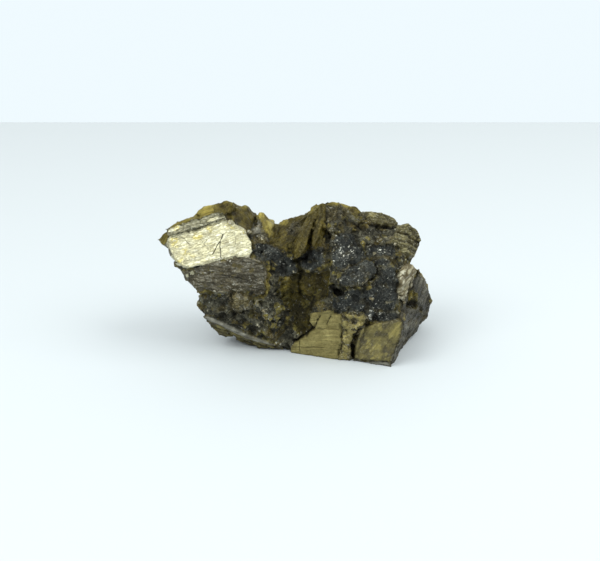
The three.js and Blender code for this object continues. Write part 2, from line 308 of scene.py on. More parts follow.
# %% Wavy and ragged places
# This noise starts from the clock unless it is given a seed, and the stone would then come out
# a little different each time.
SEED = 7
noise.seed_set(SEED)
# Spacing and depth of each push, in metres.
WAVES = (1.1 * MM, 0.16 * MM)
WIDE_RAGS = (2.6 * MM, 0.5 * MM)
SMALL_RAGS = (0.8 * MM, 0.4 * MM)


def wobble(corners, spacing, depth):
    """Pushes places about smoothly, so that what is measured from them gets an uneven edge."""
    pushes = [noise.noise_vector(Vector(corner / spacing)) for corner in corners]
    return corners + np.array(pushes) * depth


wavy = wobble(places, *WAVES)
ragged = wobble(wobble(places, *WIDE_RAGS), *SMALL_RAGS)
print("longest push, in mm:", round(np.linalg.norm(ragged - places, axis=1).max() / MM, 2))


# %% A sheet held square to an eye
# The least that a surface may turn towards the eye when a direction is laid on it.
LEAST_TURN = 0.3


class Sheet:
    """A sheet held square to an eye. Places on it are shares of the stone as the eye sees it:
    across is -1 at the left end and 1 at the right, up is 0 at the lowest point and 1 at the top."""

    def __init__(self, eye, target):
        self.forward = unit(np.array(target) - np.array(eye))
        self.right = unit(np.cross(self.forward, (0, 0, 1)))
        self.above = np.cross(self.right, self.forward)
        self.reach = np.linalg.norm(np.array(target) - np.array(eye))
        self.eye = np.array(eye)
        seen = self.on_sheet(places)
        self.least, self.most = seen.min(axis=0), seen.max(axis=0)
        self.seen = self.on_sheet(ragged)
        self.true_seen = self.on_sheet(wavy)
        self.facing = (normals * (self.eye - places)).sum(axis=1) / self.reach

    def on_sheet(self, corners):
        """Where corners are seen on the sheet, in mm."""
        rays = (corners - self.eye) / MM
        shrink = self.reach / MM / (rays @ self.forward)
        return np.stack([rays @ self.right, rays @ self.above], axis=1) * shrink[:, None]

    def spots(self, points):
        """Where shares of the seen stone are on the sheet, in mm."""
        shares = np.array(points, float)
        shares[:, 0] = shares[:, 0] / 2 + 0.5
        return self.least + shares * (self.most - self.least)

    def away(self, across, up):
        """How far each corner is seen from a place on the sheet, in mm."""
        return np.linalg.norm(self.seen - self.spots([(across, up)])[0], axis=1)

    def lay(self, corners, slant):
        """The direction on the stone that looks `slant` degrees above level on the sheet."""
        # A crumb may be too small to cover any corner. It is then taken to face the eye.
        normal = unit(normals[corners].mean(axis=0)) if corners.any() else -self.forward
        flat = math.cos(math.radians(slant)) * self.right + math.sin(math.radians(slant)) * self.above
        toward = max(LEAST_TURN, -normal @ self.forward)
        return unit(flat + self.forward * (flat @ normal) / toward)


# %% The sheets in front and behind
DISTANCE = 298 * MM
DOWN = math.radians(22)
look_at = Vector((0.5 * MM, -1.2 * MM, low.z + 15.7 * MM))
front_eye = look_at + DISTANCE * Vector((0, -math.cos(DOWN), math.sin(DOWN)))
back_eye = look_at + DISTANCE * Vector((0, math.cos(DOWN), math.sin(DOWN)))
front = Sheet(front_eye, look_at)
back = Sheet(back_eye, look_at)
# The sheet behind takes only corners that the one in front hardly sees.
BACK_LIMIT = 0.1
back.facing = np.minimum(back.facing, BACK_LIMIT - front.facing)
for name, sheet in (("front", front), ("back", back)):
    print(f"seen from the {name}, in mm:", (sheet.most - sheet.least).round(1))

# %% [markdown]
# ## The minerals of this stone
# - gold is the bright bronze face: one cleavage plane of bronzite, nearly metallic.
# - foot, rough_foot and dark_foot are the duller bronze faces that the stone stands on.
# - strips are the broken edges of the bronze layers, and slate and schist are flaky faces where
#   the layers are seen end on.
# - olive, honey, resin and smoky are glassy to waxy crystals, from green to dark brown.
# - banded is lumps whose layers are seen edge on, and tan, rusty, ochre and cream are weathered
#   lumps and crumbs.
# - grey is a worn silky edge, and steel is a mass of dark glassy grains.
#
# What is left between them is dark granular ground. One name for each keeps the drawing, the
# relief and the finish speaking of the same things.

# %% Names of the minerals
MINERALS = [
    "olive", "honey", "resin", "smoky", "tan", "rusty", "cream", "slate", "schist", "steel",
    "ochre", "grey", "banded", "gold", "strips", "foot", "rough_foot", "dark_foot",
]
print("minerals:", len(MINERALS))

# %% [markdown]
# ## Patches of the front
# A patch is an outline with only the corners that its shape needs, because the ragged places
# give its edge the small bends. The patches are laid in this order, and each covers what lies
# under it, as a crystal that stands before another does. Each row gives the mineral, the slant
# of its layers in degrees, how far it stands out in mm, and its outline.

# %% Patches of the bronze face
STENCILS = [
    # strips above the bronze face
    ("strips", 20, -0.2, [
        (-0.94, 0.81), (-0.9, 0.85), (-0.82, 0.87), (-0.73, 0.89), (-0.63, 0.91), (-0.55, 0.92),
        (-0.49, 0.9), (-0.54, 0.87), (-0.66, 0.83), (-0.76, 0.81), (-0.86, 0.79), (-0.93, 0.78),
    ]),
    # bronze face
    ("gold", 17, 0.2, [
        (-0.93, 0.77), (-0.89, 0.79), (-0.76, 0.81), (-0.66, 0.84), (-0.54, 0.88), (-0.45, 0.885),
        (-0.43, 0.855), (-0.36, 0.835), (-0.34, 0.79), (-0.31, 0.75), (-0.3, 0.69), (-0.33, 0.66),
        (-0.44, 0.655), (-0.57, 0.64), (-0.66, 0.61), (-0.78, 0.585), (-0.86, 0.61), (-0.91, 0.66),
        (-0.95, 0.71),
    ]),
    # bright slivers left on the strips
    ("gold", 15, 0.15, [
        (-0.93, 0.815), (-0.9, 0.84), (-0.84, 0.855), (-0.82, 0.845), (-0.86, 0.825), (-0.91, 0.81),
    ]),
    ("gold", 17, 0.1, [(-0.65, 0.87), (-0.5, 0.89), (-0.5, 0.905), (-0.57, 0.905), (-0.63, 0.89)]),
]
print("patches so far:", len(STENCILS))

# %% Patches round the bronze face
STENCILS += [
    # waxy rim along the top of the wedge, and the left lobe of its cap
    ("honey", 20, 0, [
        (-0.94, 0.84), (-0.9, 0.87), (-0.81, 0.9), (-0.74, 0.92), (-0.7, 0.96), (-0.6, 0.98),
        (-0.53, 1.01), (-0.54, 0.93), (-0.63, 0.905), (-0.73, 0.885), (-0.82, 0.865), (-0.9, 0.84),
    ]),
    ("resin", 50, 0, [
        (-0.58, 0.93), (-0.59, 0.99), (-0.52, 1.02), (-0.43, 1.02), (-0.42, 0.96), (-0.45, 0.92),
        (-0.49, 0.9), (-0.54, 0.92),
    ]),
    # tip, and the band from it down the left edge
    ("honey", 60, -0.1, [
        (-1.03, 0.78), (-0.97, 0.83), (-0.935, 0.83), (-0.92, 0.78), (-0.93, 0.74), (-0.97, 0.7),
    ]),
    ("grey", 60, 0, [(-0.935, 0.74), (-0.96, 0.72), (-0.91, 0.66), (-0.89, 0.67)]),
    # cap
    ("resin", -60, 0, [
        (-0.49, 0.9), (-0.47, 0.94), (-0.44, 0.99), (-0.35, 0.99), (-0.28, 0.91), (-0.29, 0.82),
        (-0.33, 0.82), (-0.4, 0.845), (-0.44, 0.875),
    ]),
]
print("patches so far:", len(STENCILS))

# %% Patches of the saddle, the slope and the fins
STENCILS += [
    # knob on the saddle, with its foot and a pale lump beside it
    ("honey", -50, 0.2, [
        (-0.28, 0.9), (-0.26, 0.94), (-0.2, 0.92), (-0.14, 0.88), (-0.11, 0.84), (-0.12, 0.79),
        (-0.17, 0.775), (-0.21, 0.81), (-0.25, 0.87),
    ]),
    ("rusty", -40, 0.1, [
        (-0.3, 0.8), (-0.24, 0.81), (-0.19, 0.8), (-0.17, 0.76), (-0.22, 0.735), (-0.29, 0.74),
    ]),
    ("grey", -60, 0.3, [
        (-0.305, 0.85), (-0.28, 0.875), (-0.25, 0.86), (-0.235, 0.81), (-0.27, 0.795), (-0.305, 0.8),
    ]),
    # olive slope between the knob and the fins
    ("olive", 35, 0, [
        (-0.16, 0.86), (-0.12, 0.86), (-0.06, 0.89), (0.02, 0.92), (0.1, 0.95), (0.09, 0.88),
        (0.05, 0.81), (0.01, 0.74), (-0.01, 0.69), (-0.06, 0.69), (-0.12, 0.72), (-0.17, 0.75),
        (-0.16, 0.8),
    ]),
    ("rusty", 20, 0, [
        (-0.06, 0.83), (-0.02, 0.87), (0.04, 0.865), (0.05, 0.82), (0, 0.79), (-0.05, 0.79),
    ]),
    # fins
    ("olive", 66, 0.2, [
        (0.17, 1.0), (0.09, 0.95), (0.06, 0.86), (0.02, 0.79), (-0.015, 0.73), (-0.01, 0.66),
        (0.02, 0.64), (0.06, 0.66), (0.1, 0.73), (0.12, 0.79), (0.145, 0.86), (0.165, 0.93),
    ]),
    ("olive", 74, 0.2, [
        (0.23, 1.03), (0.17, 1.0), (0.155, 0.88), (0.13, 0.8), (0.115, 0.74), (0.13, 0.69),
        (0.18, 0.7), (0.21, 0.78), (0.235, 0.86), (0.245, 0.95),
    ]),
]
print("patches so far:", len(STENCILS))

# %% Patches of the top and the bands
STENCILS += [
    # layered brown patch beside the fins
    ("rusty", 8, -0.1, [
        (0.235, 0.97), (0.3, 0.965), (0.38, 0.95), (0.42, 0.92), (0.36, 0.9), (0.29, 0.885),
        (0.235, 0.87),
    ]),
    # painted highlights along the skyline, on the edges that catch the light
    ("honey", 30, 0, [
        (0.08, 0.92), (0.12, 0.96), (0.2, 0.99), (0.23, 1.01), (0.22, 0.98), (0.15, 0.955), (0.1, 0.91),
    ]),
    ("honey", -12, 0, [
        (0.21, 0.98), (0.24, 1.01), (0.32, 1.01), (0.4, 0.98), (0.39, 0.94), (0.33, 0.97),
        (0.25, 0.975),
    ]),
    # brown lump at the top
    ("resin", 0, 0.2, [
        (0.4, 0.93), (0.4, 0.98), (0.44, 0.98), (0.49, 0.93), (0.46, 0.915), (0.42, 0.915),
    ]),
    # banded lump, banded knob and the pale end between them
    ("banded", -8, 0.2, [
        (0.49, 0.93), (0.57, 0.96), (0.63, 0.94), (0.71, 0.92), (0.75, 0.87), (0.74, 0.85),
        (0.68, 0.845), (0.57, 0.855), (0.52, 0.88),
    ]),
    ("banded", -20, 0.2, [
        (0.73, 0.84), (0.76, 0.87), (0.85, 0.87), (0.92, 0.83), (0.94, 0.76), (0.92, 0.7),
        (0.86, 0.64), (0.8, 0.67), (0.77, 0.71), (0.7, 0.75), (0.71, 0.79),
    ]),
    ("banded", -30, 0, [(0.64, 0.93), (0.71, 0.92), (0.75, 0.88), (0.72, 0.86), (0.67, 0.88)]),
    # pale brown crumb under the top
    ("tan", 60, 0.1, [(0.31, 0.83), (0.33, 0.87), (0.36, 0.85), (0.35, 0.81)]),
]
print("patches so far:", len(STENCILS))

# %% Patches of the flaky face and what lies under it
STENCILS += [
    # flaky face under the bronze face
    ("slate", -13, 0, [
        (-0.83, 0.58), (-0.77, 0.585), (-0.66, 0.61), (-0.5, 0.645), (-0.33, 0.66), (-0.27, 0.64),
        (-0.2, 0.58), (-0.2, 0.47), (-0.24, 0.43), (-0.4, 0.45), (-0.65, 0.455), (-0.72, 0.45),
        (-0.8, 0.53),
    ]),
    # brown lump low on the left
    ("rusty", -35, 0.25, [
        (-0.51, 0.43), (-0.45, 0.45), (-0.38, 0.44), (-0.3, 0.41), (-0.3, 0.35), (-0.34, 0.325),
        (-0.42, 0.305), (-0.47, 0.33), (-0.49, 0.38),
    ]),
    ("rusty", -50, 0, [(-0.57, 0.35), (-0.53, 0.37), (-0.5, 0.35), (-0.51, 0.31), (-0.55, 0.315)]),
    # the ledge low on the left, and the bevel along its top
    ("dark_foot", -22, 0, [
        (-0.66, 0.28), (-0.56, 0.25), (-0.48, 0.218), (-0.4, 0.183), (-0.32, 0.156), (-0.24, 0.14),
        (-0.15, 0.11), (-0.2, 0.08), (-0.3, 0.08), (-0.44, 0.14), (-0.6, 0.19), (-0.68, 0.25),
    ]),
    ("grey", -22, 0.3, [
        (-0.68, 0.3), (-0.63, 0.305), (-0.56, 0.28), (-0.48, 0.248), (-0.4, 0.212), (-0.32, 0.182),
        (-0.24, 0.16), (-0.14, 0.13), (-0.14, 0.12), (-0.24, 0.14), (-0.32, 0.155),
        (-0.4, 0.182), (-0.48, 0.216), (-0.56, 0.25), (-0.65, 0.28),
    ]),
]
print("patches so far:", len(STENCILS))

# %% Patches of the hollow
STENCILS += [
    # hollow in the middle, its deepest part, and the brown knob beside it
    ("smoky", 85, -0.4, [
        (-0.02, 0.56), (0.02, 0.62), (0.05, 0.58), (0.13, 0.56), (0.24, 0.58), (0.26, 0.5),
        (0.24, 0.42), (0.14, 0.36), (0.09, 0.3), (0.12, 0.24), (0.06, 0.19), (0, 0.2),
        (-0.01, 0.3), (-0.05, 0.36), (-0.1, 0.4), (-0.09, 0.5),
    ]),
    ("smoky", 85, -0.3, [
        (0, 0.42), (0.07, 0.42), (0.1, 0.33), (0.1, 0.27), (0.13, 0.24), (0.07, 0.2), (0.01, 0.2),
        (-0.01, 0.28),
    ]),
    ("smoky", 80, 0.2, [
        (-0.1, 0.43), (-0.1, 0.5), (-0.07, 0.545), (-0.01, 0.545), (0.01, 0.5), (-0.01, 0.43),
    ]),
    # olive slivers on the knob and in the hollow
    ("olive", 30, 0.2, [(-0.09, 0.5), (-0.07, 0.54), (-0.01, 0.545), (0, 0.51), (-0.05, 0.5)]),
    ("olive", 65, 0.1, [(0.14, 0.38), (0.15, 0.43), (0.2, 0.47), (0.23, 0.46), (0.2, 0.41)]),
    # dark glassy grains round the hollow
    ("steel", 20, 0, [
        (-0.3, 0.7), (-0.27, 0.74), (-0.18, 0.74), (-0.1, 0.72), (-0.06, 0.67), (-0.12, 0.63),
        (-0.2, 0.62), (-0.28, 0.65),
    ]),
    ("steel", 20, 0, [
        (-0.14, 0.62), (-0.09, 0.66), (-0.02, 0.65), (0.02, 0.62), (0.02, 0.56), (-0.06, 0.55),
        (-0.13, 0.55),
    ]),
    ("steel", 70, 0, [(0.05, 0.68), (0.1, 0.7), (0.2, 0.72), (0.22, 0.62), (0.13, 0.58), (0.05, 0.59)]),
]
print("patches so far:", len(STENCILS))

# %% Patches of the feet
STENCILS += [
    # left foot
    ("foot", 1, 0.3, [
        (0.1, 0.32), (0.17, 0.33), (0.26, 0.335), (0.29, 0.32), (0.34, 0.31), (0.335, 0.24),
        (0.34, 0.14), (0.31, 0.04), (0.1, 0.05), (-0.04, 0.08), (-0.01, 0.145), (0.06, 0.18),
        (0.14, 0.235), (0.105, 0.26),
    ]),
    # rough gold between the feet
    ("rough_foot", 45, 0.25, [
        (0.34, 0.31), (0.41, 0.325), (0.46, 0.355), (0.48, 0.33), (0.52, 0.305), (0.52, 0.26),
        (0.47, 0.23), (0.42, 0.19), (0.4, 0.14), (0.41, 0.09), (0.44, 0.04), (0.31, 0.04),
        (0.34, 0.13), (0.335, 0.24),
    ]),
    # right foot
    ("dark_foot", 52, 0.3, [
        (0.49, 0.23), (0.55, 0.25), (0.62, 0.265), (0.69, 0.275), (0.74, 0.295), (0.78, 0.27),
        (0.785, 0.22), (0.765, 0.17), (0.73, 0.11), (0.7, 0.03), (0.55, 0.035), (0.43, 0.05),
        (0.425, 0.14), (0.46, 0.19),
    ]),
    # bottom edge of the right foot, and the edge beside it
    ("grey", -5, 0, [
        (0.43, 0.04), (0.55, 0.028), (0.69, 0.025), (0.71, -0.02), (0.55, -0.01), (0.43, 0.01),
    ]),
    ("schist", 50, 0, [
        (0.7, 0.02), (0.73, 0.1), (0.77, 0.17), (0.79, 0.23), (0.81, 0.28), (0.87, 0.25),
        (0.84, 0.15), (0.76, 0.07), (0.7, -0.03),
    ]),
]
print("patches so far:", len(STENCILS))

# %% Patches of the right end and the flake
STENCILS += [
    # right end, its brown top, the brown face beside its pit, and its tip
    ("schist", 60, 0, [
        (0.79, 0.12), (0.8, 0.22), (0.76, 0.3), (0.78, 0.38), (0.83, 0.44), (0.87, 0.54),
        (0.89, 0.59), (0.94, 0.59), (1, 0.49), (1.04, 0.4), (1.01, 0.33), (0.99, 0.26),
        (0.9, 0.19), (0.83, 0.12),
    ]),
    ("rusty", 20, 0, [(0.89, 0.55), (0.9, 0.59), (0.95, 0.58), (0.96, 0.53), (0.93, 0.54)]),
    ("smoky", 70, 0, [
        (0.83, 0.44), (0.85, 0.48), (0.88, 0.45), (0.9, 0.4), (0.905, 0.35), (0.87, 0.34),
        (0.83, 0.36),
    ]),
    ("rusty", 60, 0, [(0.91, 0.34), (0.93, 0.35), (0.94, 0.32), (0.92, 0.31)]),
    # pale flake, and its brown right edge
    ("cream", 62, 0.5, [
        (0.77, 0.6), (0.83, 0.625), (0.87, 0.61), (0.88, 0.57), (0.86, 0.51), (0.83, 0.47),
        (0.81, 0.42), (0.79, 0.385), (0.765, 0.41), (0.755, 0.48), (0.75, 0.55),
    ]),
    ("honey", 62, 0.3, [
        (0.83, 0.64), (0.88, 0.625), (0.895, 0.58), (0.87, 0.53), (0.86, 0.55), (0.87, 0.59),
    ]),
]
print("patches so far:", len(STENCILS))

# %% Patches of the dark glassy faces
STENCILS += [
    # dark glassy faces of the right half: the sparkling one, the ledge, the silver one and the
    # rusty seam under it, the dark corner, the smooth dark one and the low ground
    ("steel", 30, 0, [
        (0.26, 0.75), (0.31, 0.8), (0.37, 0.81), (0.43, 0.8), (0.46, 0.75), (0.54, 0.67),
        (0.46, 0.62), (0.4, 0.615), (0.35, 0.58), (0.3, 0.6), (0.27, 0.67),
    ]),
    ("steel", 20, 0.4, [
        (0.3, 0.515), (0.35, 0.555), (0.4, 0.61), (0.46, 0.62), (0.53, 0.65), (0.58, 0.62),
        (0.59, 0.57), (0.54, 0.52), (0.49, 0.49), (0.42, 0.485), (0.35, 0.48),
    ]),
    ("steel", 0, 0, [
        (0.53, 0.71), (0.6, 0.73), (0.7, 0.73), (0.74, 0.7), (0.73, 0.66), (0.65, 0.66), (0.56, 0.66),
    ]),
    ("rusty", 0, -0.2, [
        (0.57, 0.665), (0.65, 0.668), (0.73, 0.665), (0.73, 0.65), (0.65, 0.652), (0.58, 0.65),
    ]),
    ("steel", 45, -0.2, [(0.58, 0.65), (0.64, 0.66), (0.69, 0.64), (0.68, 0.6), (0.6, 0.6)]),
    ("steel", 45, -0.1, [
        (0.63, 0.57), (0.67, 0.6), (0.74, 0.59), (0.75, 0.5), (0.755, 0.4), (0.73, 0.34),
        (0.6, 0.34), (0.5, 0.36), (0.48, 0.42), (0.55, 0.48), (0.6, 0.52),
    ]),
    ("steel", 30, 0, [
        (0.35, 0.43), (0.4, 0.46), (0.48, 0.46), (0.52, 0.36), (0.6, 0.33), (0.73, 0.33),
        (0.76, 0.3), (0.66, 0.28), (0.55, 0.27), (0.5, 0.32), (0.42, 0.34), (0.33, 0.33),
        (0.26, 0.36), (0.28, 0.42),
    ]),
]
print("patches of the front:", len(STENCILS))

# %% [markdown]
# ## Small things on the front
# Crumbs of pale or rusty mineral stick to a broken stone, veins fill its old cracks, and newer
# cracks and grooves run between its crystals. Each crumb could be a patch too, but a place and a
# reach say enough for something round, and a line and a width for something long.

# %% Crumbs
# Each row: mineral, how far it stands out in mm, and its crumbs: across, up and reach in mm.
SPOTS = [
    # pale crumbs all over the front
    ("cream", 0.3, [
        (-0.47, 0.865, 0.6), (-0.33, 0.82, 0.4), (-0.31, 0.815, 0.4), (0.28, 0.755, 0.2),
        (0.29, 0.735, 0.25), (0.285, 0.7, 0.2), (-0.01, 0.57, 0.25),
        (-0.135, 0.44, 0.35), (0.04, 0.2, 0.3), (0.02, 0.185, 0.35), (-0.14, 0.615, 0.35),
        (0.58, 0.68, 0.3), (0.56, 0.405, 0.4), (0.385, 0.43, 0.3), (0.365, 0.415, 0.25),
        (-0.285, 0.85, 0.35), (-0.26, 0.835, 0.3), (0.8, 0.385, 0.35),
        (0.735, 0.735, 0.4), (-0.11, 0.86, 0.3), (-0.09, 0.875, 0.3), (0.22, 0.985, 0.3),
        (-0.275, 0.385, 0.3), (-0.26, 0.395, 0.25), (-0.26, 0.37, 0.25), (-0.225, 0.325, 0.3),
        (-0.21, 0.335, 0.25), (-0.23, 0.305, 0.25), (-0.27, 0.255, 0.3), (-0.255, 0.24, 0.25),
    ]),
    ("ochre", 0.1, [
        (-0.03, 0.715, 0.9), (0.5, 0.74, 0.6), (-0.2, 0.45, 0.8), (-0.71, 0.44, 0.6),
        (-0.36, 0.245, 0.45), (-0.18, 0.235, 0.4), (0.09, 0.57, 0.5), (0.18, 0.59, 0.5),
        (0.54, 0.47, 0.45), (0.44, 0.83, 0.5), (-0.17, 0.28, 0.5), (-0.13, 0.31, 0.4),
        (-0.05, 0.29, 0.5), (-0.08, 0.21, 0.4), (0.06, 0.53, 0.4), (0.1, 0.635, 0.4),
    ]),
    ("rusty", 0.2, [
        (0.22, 0.625, 0.6), (0.21, 0.51, 0.4), (-0.16, 0.17, 0.9), (-0.1, 0.14, 0.7),
        (0.7, 0.78, 0.7), (0.34, 0.85, 0.7), (0.45, 0.2, 0.6), (0.43, 0.27, 0.8),
    ]),
    ("honey", 0.3, [(-0.08, 0.87, 0.8), (-0.11, 0.865, 0.6), (-0.06, 0.875, 0.5)]),
    ("gold", 0.2, [(-0.78, 0.545, 0.4), (-0.75, 0.565, 0.45)]),
    # bright yellow places on the rough foot
    ("foot", 0.15, [
        (0.37, 0.26, 0.7), (0.38, 0.235, 0.5), (0.365, 0.205, 0.45), (0.4, 0.165, 0.6),
        (0.385, 0.15, 0.5), (0.35, 0.115, 0.5), (0.38, 0.1, 0.6), (0.36, 0.075, 0.5),
        (0.48, 0.29, 0.7), (0.41, 0.3, 0.6),
    ]),
]
print("crumbs:", sum(len(crumbs) for mineral, stands_out, crumbs in SPOTS))

# %% Veins
# Each vein: mineral, how far it stands out and how wide it is in mm, its line.
VEINS = [
    # olive vein at the end of the flaky face, its two branches and its foot
    ("ochre", 0.2, 1.0, [(-0.195, 0.6), (-0.185, 0.55), (-0.2, 0.51), (-0.2, 0.43)]),
    ("ochre", 0.1, 0.45, [(-0.21, 0.64), (-0.19, 0.6), (-0.14, 0.58)]),
    ("ochre", 0.1, 0.35, [(-0.18, 0.65), (-0.13, 0.61)]),
    ("ochre", 0.1, 0.5, [(-0.28, 0.41), (-0.24, 0.43), (-0.2, 0.42)]),
    # olive vein at the left
    ("ochre", 0.1, 0.7, [(-0.71, 0.44), (-0.66, 0.45), (-0.6, 0.44)]),
    # pale vein along the foot of the flaky face
    ("cream", 0.05, 0.25, [(-0.62, 0.46), (-0.52, 0.45), (-0.4, 0.45)]),
    # painted highlights along the edges of the ledge, and the rusty seam behind it
    ("cream", 0.1, 0.4, [(0.49, 0.49), (0.53, 0.515)]),
    ("cream", 0.05, 0.18, [(0.31, 0.51), (0.33, 0.53)]),
    ("cream", 0.05, 0.18, [(0.36, 0.575), (0.4, 0.605)]),
    ("ochre", 0, 0.35, [(0.54, 0.5), (0.59, 0.53)]),
    # pale line over the low ground
    ("cream", 0.1, 0.3, [(0.66, 0.385), (0.72, 0.395)]),
    # yellow lines under the banded knob
    ("ochre", 0.15, 0.45, [(0.7, 0.615), (0.74, 0.645)]),
    ("ochre", 0.15, 0.4, [(0.71, 0.6), (0.75, 0.62)]),
    # weathered edge of the right end
    ("tan", 0.05, 0.6, [(0.93, 0.565), (0.96, 0.52), (0.98, 0.46)]),
    ("tan", 0.1, 0.7, [(1, 0.42), (1, 0.385)]),
    # pale edge under the flake
    ("tan", 0.1, 0.35, [(0.79, 0.34), (0.8, 0.28)]),
    # edge of the right foot
    ("grey", 0.05, 0.35, [(0.71, 0.04), (0.74, 0.11), (0.78, 0.19)]),
]
print("veins:", len(VEINS))

# %% Cracks
# The two curved cracks of the left foot, which are cut as grooves too.
LONG_FOOT_CRACK = [(0.19, 0.31), (0.165, 0.275), (0.155, 0.245), (0.13, 0.22)]
SHORT_FOOT_CRACK = [(0.265, 0.31), (0.245, 0.285), (0.235, 0.255)]
# Each crack: its width in mm, its line.
CRACKS = [
    # bronze face: the long crack, the short one beside it and three faint ones
    (0.22, [(-0.515, 0.8), (-0.54, 0.755), (-0.57, 0.715), (-0.6, 0.67)]),
    (0.2, [(-0.54, 0.755), (-0.54, 0.7), (-0.533, 0.645)]),
    (0.09, [(-0.85, 0.79), (-0.8, 0.765), (-0.76, 0.73)]),
    (0.08, [(-0.44, 0.8), (-0.43, 0.765), (-0.435, 0.72)]),
    (0.08, [(-0.69, 0.77), (-0.66, 0.735), (-0.64, 0.72)]),
    # left foot: two curved cracks, two level ones and a short upright one
    (0.2, LONG_FOOT_CRACK),
    (0.2, SHORT_FOOT_CRACK),
    (0.1, [(0.16, 0.23), (0.24, 0.228), (0.32, 0.225)]),
    (0.08, [(0.05, 0.115), (0.14, 0.12), (0.22, 0.115)]),
    (0.14, [(0.035, 0.16), (0.04, 0.09)]),
    # flaky face
    (0.22, [(-0.54, 0.55), (-0.45, 0.54), (-0.34, 0.515)]),
]
print("cracks:", len(CRACKS))

# %% Swells and hollow places
# Each swell: how far it stands out in mm, across, up, its reach in mm.
SWELLS = [
    # lobes of the cap
    (0.2, -0.47, 0.99, 1.8),
    (0.9, -0.345, 0.965, 1.2),
    # saddle, beside the peak of the fins, end of the banded knob, and knob on the saddle
    (0.8, -0.16, 0.86, 1.3),
    (-0.4, 0.23, 1, 1.2),
    (-0.6, 0.935, 0.77, 1.9),
    (0.3, -0.255, 0.93, 0.9),
    # peak of the fins
    (-0.6, 0.178, 0.995, 0.8),
]
print("swells:", len(SWELLS))

# %% Grooves
# Each groove: its width and depth in mm, its line.
GROOVES = [
    # split between the fins, and the creases beside and on them
    (0.2, 0.4, [(0.16, 0.91), (0.15, 0.87), (0.13, 0.81), (0.105, 0.75), (0.09, 0.7)]),
    (0.2, 0.3, [(0.12, 0.9), (0.085, 0.83), (0.06, 0.77), (0.035, 0.7)]),
    (0.2, 0.3, [(0.19, 0.97), (0.18, 0.91), (0.165, 0.85)]),
    (0.25, 0.25, [(0.09, 0.92), (0.05, 0.85), (0.01, 0.78), (-0.02, 0.72)]),
    (0.4, 0.4, [(0.235, 0.93), (0.23, 0.85), (0.21, 0.78)]),
    # hollow: its upright groove, and the deep place under the fins
    (1.2, 0.8, [(0.03, 0.63), (0.045, 0.56), (0.04, 0.5), (0.045, 0.42)]),
    (1.6, 0.8, [(0.01, 0.63), (0.06, 0.65), (0.11, 0.7)]),
    # crevice beside the brown lump
    (0.6, 0.8, [(-0.5, 0.4), (-0.47, 0.36), (-0.44, 0.3)]),
    # left foot: its curved cracks, its side and its end
    (0.3, 0.35, LONG_FOOT_CRACK),
    (0.28, 0.3, SHORT_FOOT_CRACK),
    (0.8, 0.7, [(0.1, 0.31), (0.1, 0.26), (0.13, 0.23), (0.07, 0.19), (0, 0.155)]),
    (0.5, 0.45, [(0.335, 0.3), (0.33, 0.2), (0.335, 0.13), (0.315, 0.07)]),
    # deep crack between the feet
    (0.5, 0.8, [(0.5, 0.23), (0.46, 0.21), (0.44, 0.19)]),
    (0.7, 1.0, [(0.435, 0.185), (0.415, 0.15), (0.42, 0.1), (0.43, 0.06)]),
    # ledge: the crack behind its end, the pit at its foot, and the shade under it
    (0.6, 0.8, [(0.59, 0.62), (0.6, 0.58), (0.575, 0.54), (0.55, 0.515)]),
    (2.0, 0.8, [(0.26, 0.48), (0.31, 0.45), (0.34, 0.44)]),
    (0.4, 0.4, [(0.38, 0.47), (0.44, 0.475), (0.5, 0.485)]),
    # pit in the right end
    (2.4, 1.2, [(0.85, 0.385), (0.88, 0.37)]),
    # either side of the flake
    (0.8, 0.7, [(0.885, 0.57), (0.86, 0.5), (0.825, 0.43)]),
    (0.7, 0.5, [(0.75, 0.57), (0.75, 0.5), (0.755, 0.42)]),
    # under the banded lump, and the bands of the knob
    (0.6, 0.6, [(0.5, 0.86), (0.58, 0.845), (0.68, 0.84), (0.74, 0.835)]),
    (0.5, 0.5, [(0.74, 0.81), (0.82, 0.785), (0.9, 0.745)]),
    (0.25, 0.25, [(0.76, 0.835), (0.83, 0.825), (0.9, 0.79)]),
    (0.3, 0.3, [(0.77, 0.75), (0.83, 0.745), (0.88, 0.72)]),
    (0.3, 0.3, [(0.76, 0.71), (0.83, 0.705), (0.87, 0.69)]),
    # between the lobes of the cap, and round its foot
    (0.5, 0.6, [(-0.42, 0.99), (-0.43, 0.95), (-0.46, 0.91)]),
    (0.8, 0.6, [(-0.3, 0.82), (-0.285, 0.86), (-0.28, 0.9)]),
    # saddle
    (0.5, 0.4, [(-0.11, 0.83), (-0.12, 0.78), (-0.15, 0.75)]),
    # right end of the bronze face
    (0.7, 0.5, [(-0.335, 0.81), (-0.3, 0.75), (-0.295, 0.68)]),
    # crevice above the sparkling face
    (0.8, 0.6, [(0.25, 0.8), (0.29, 0.81), (0.32, 0.79)]),
    # dark line under the bevelled edge
    (0.3, 0.5, [
        (-0.62, 0.245), (-0.56, 0.227), (-0.48, 0.197), (-0.38, 0.157), (-0.27, 0.127), (-0.18, 0.105),
    ]),
]
print("grooves:", len(GROOVES))
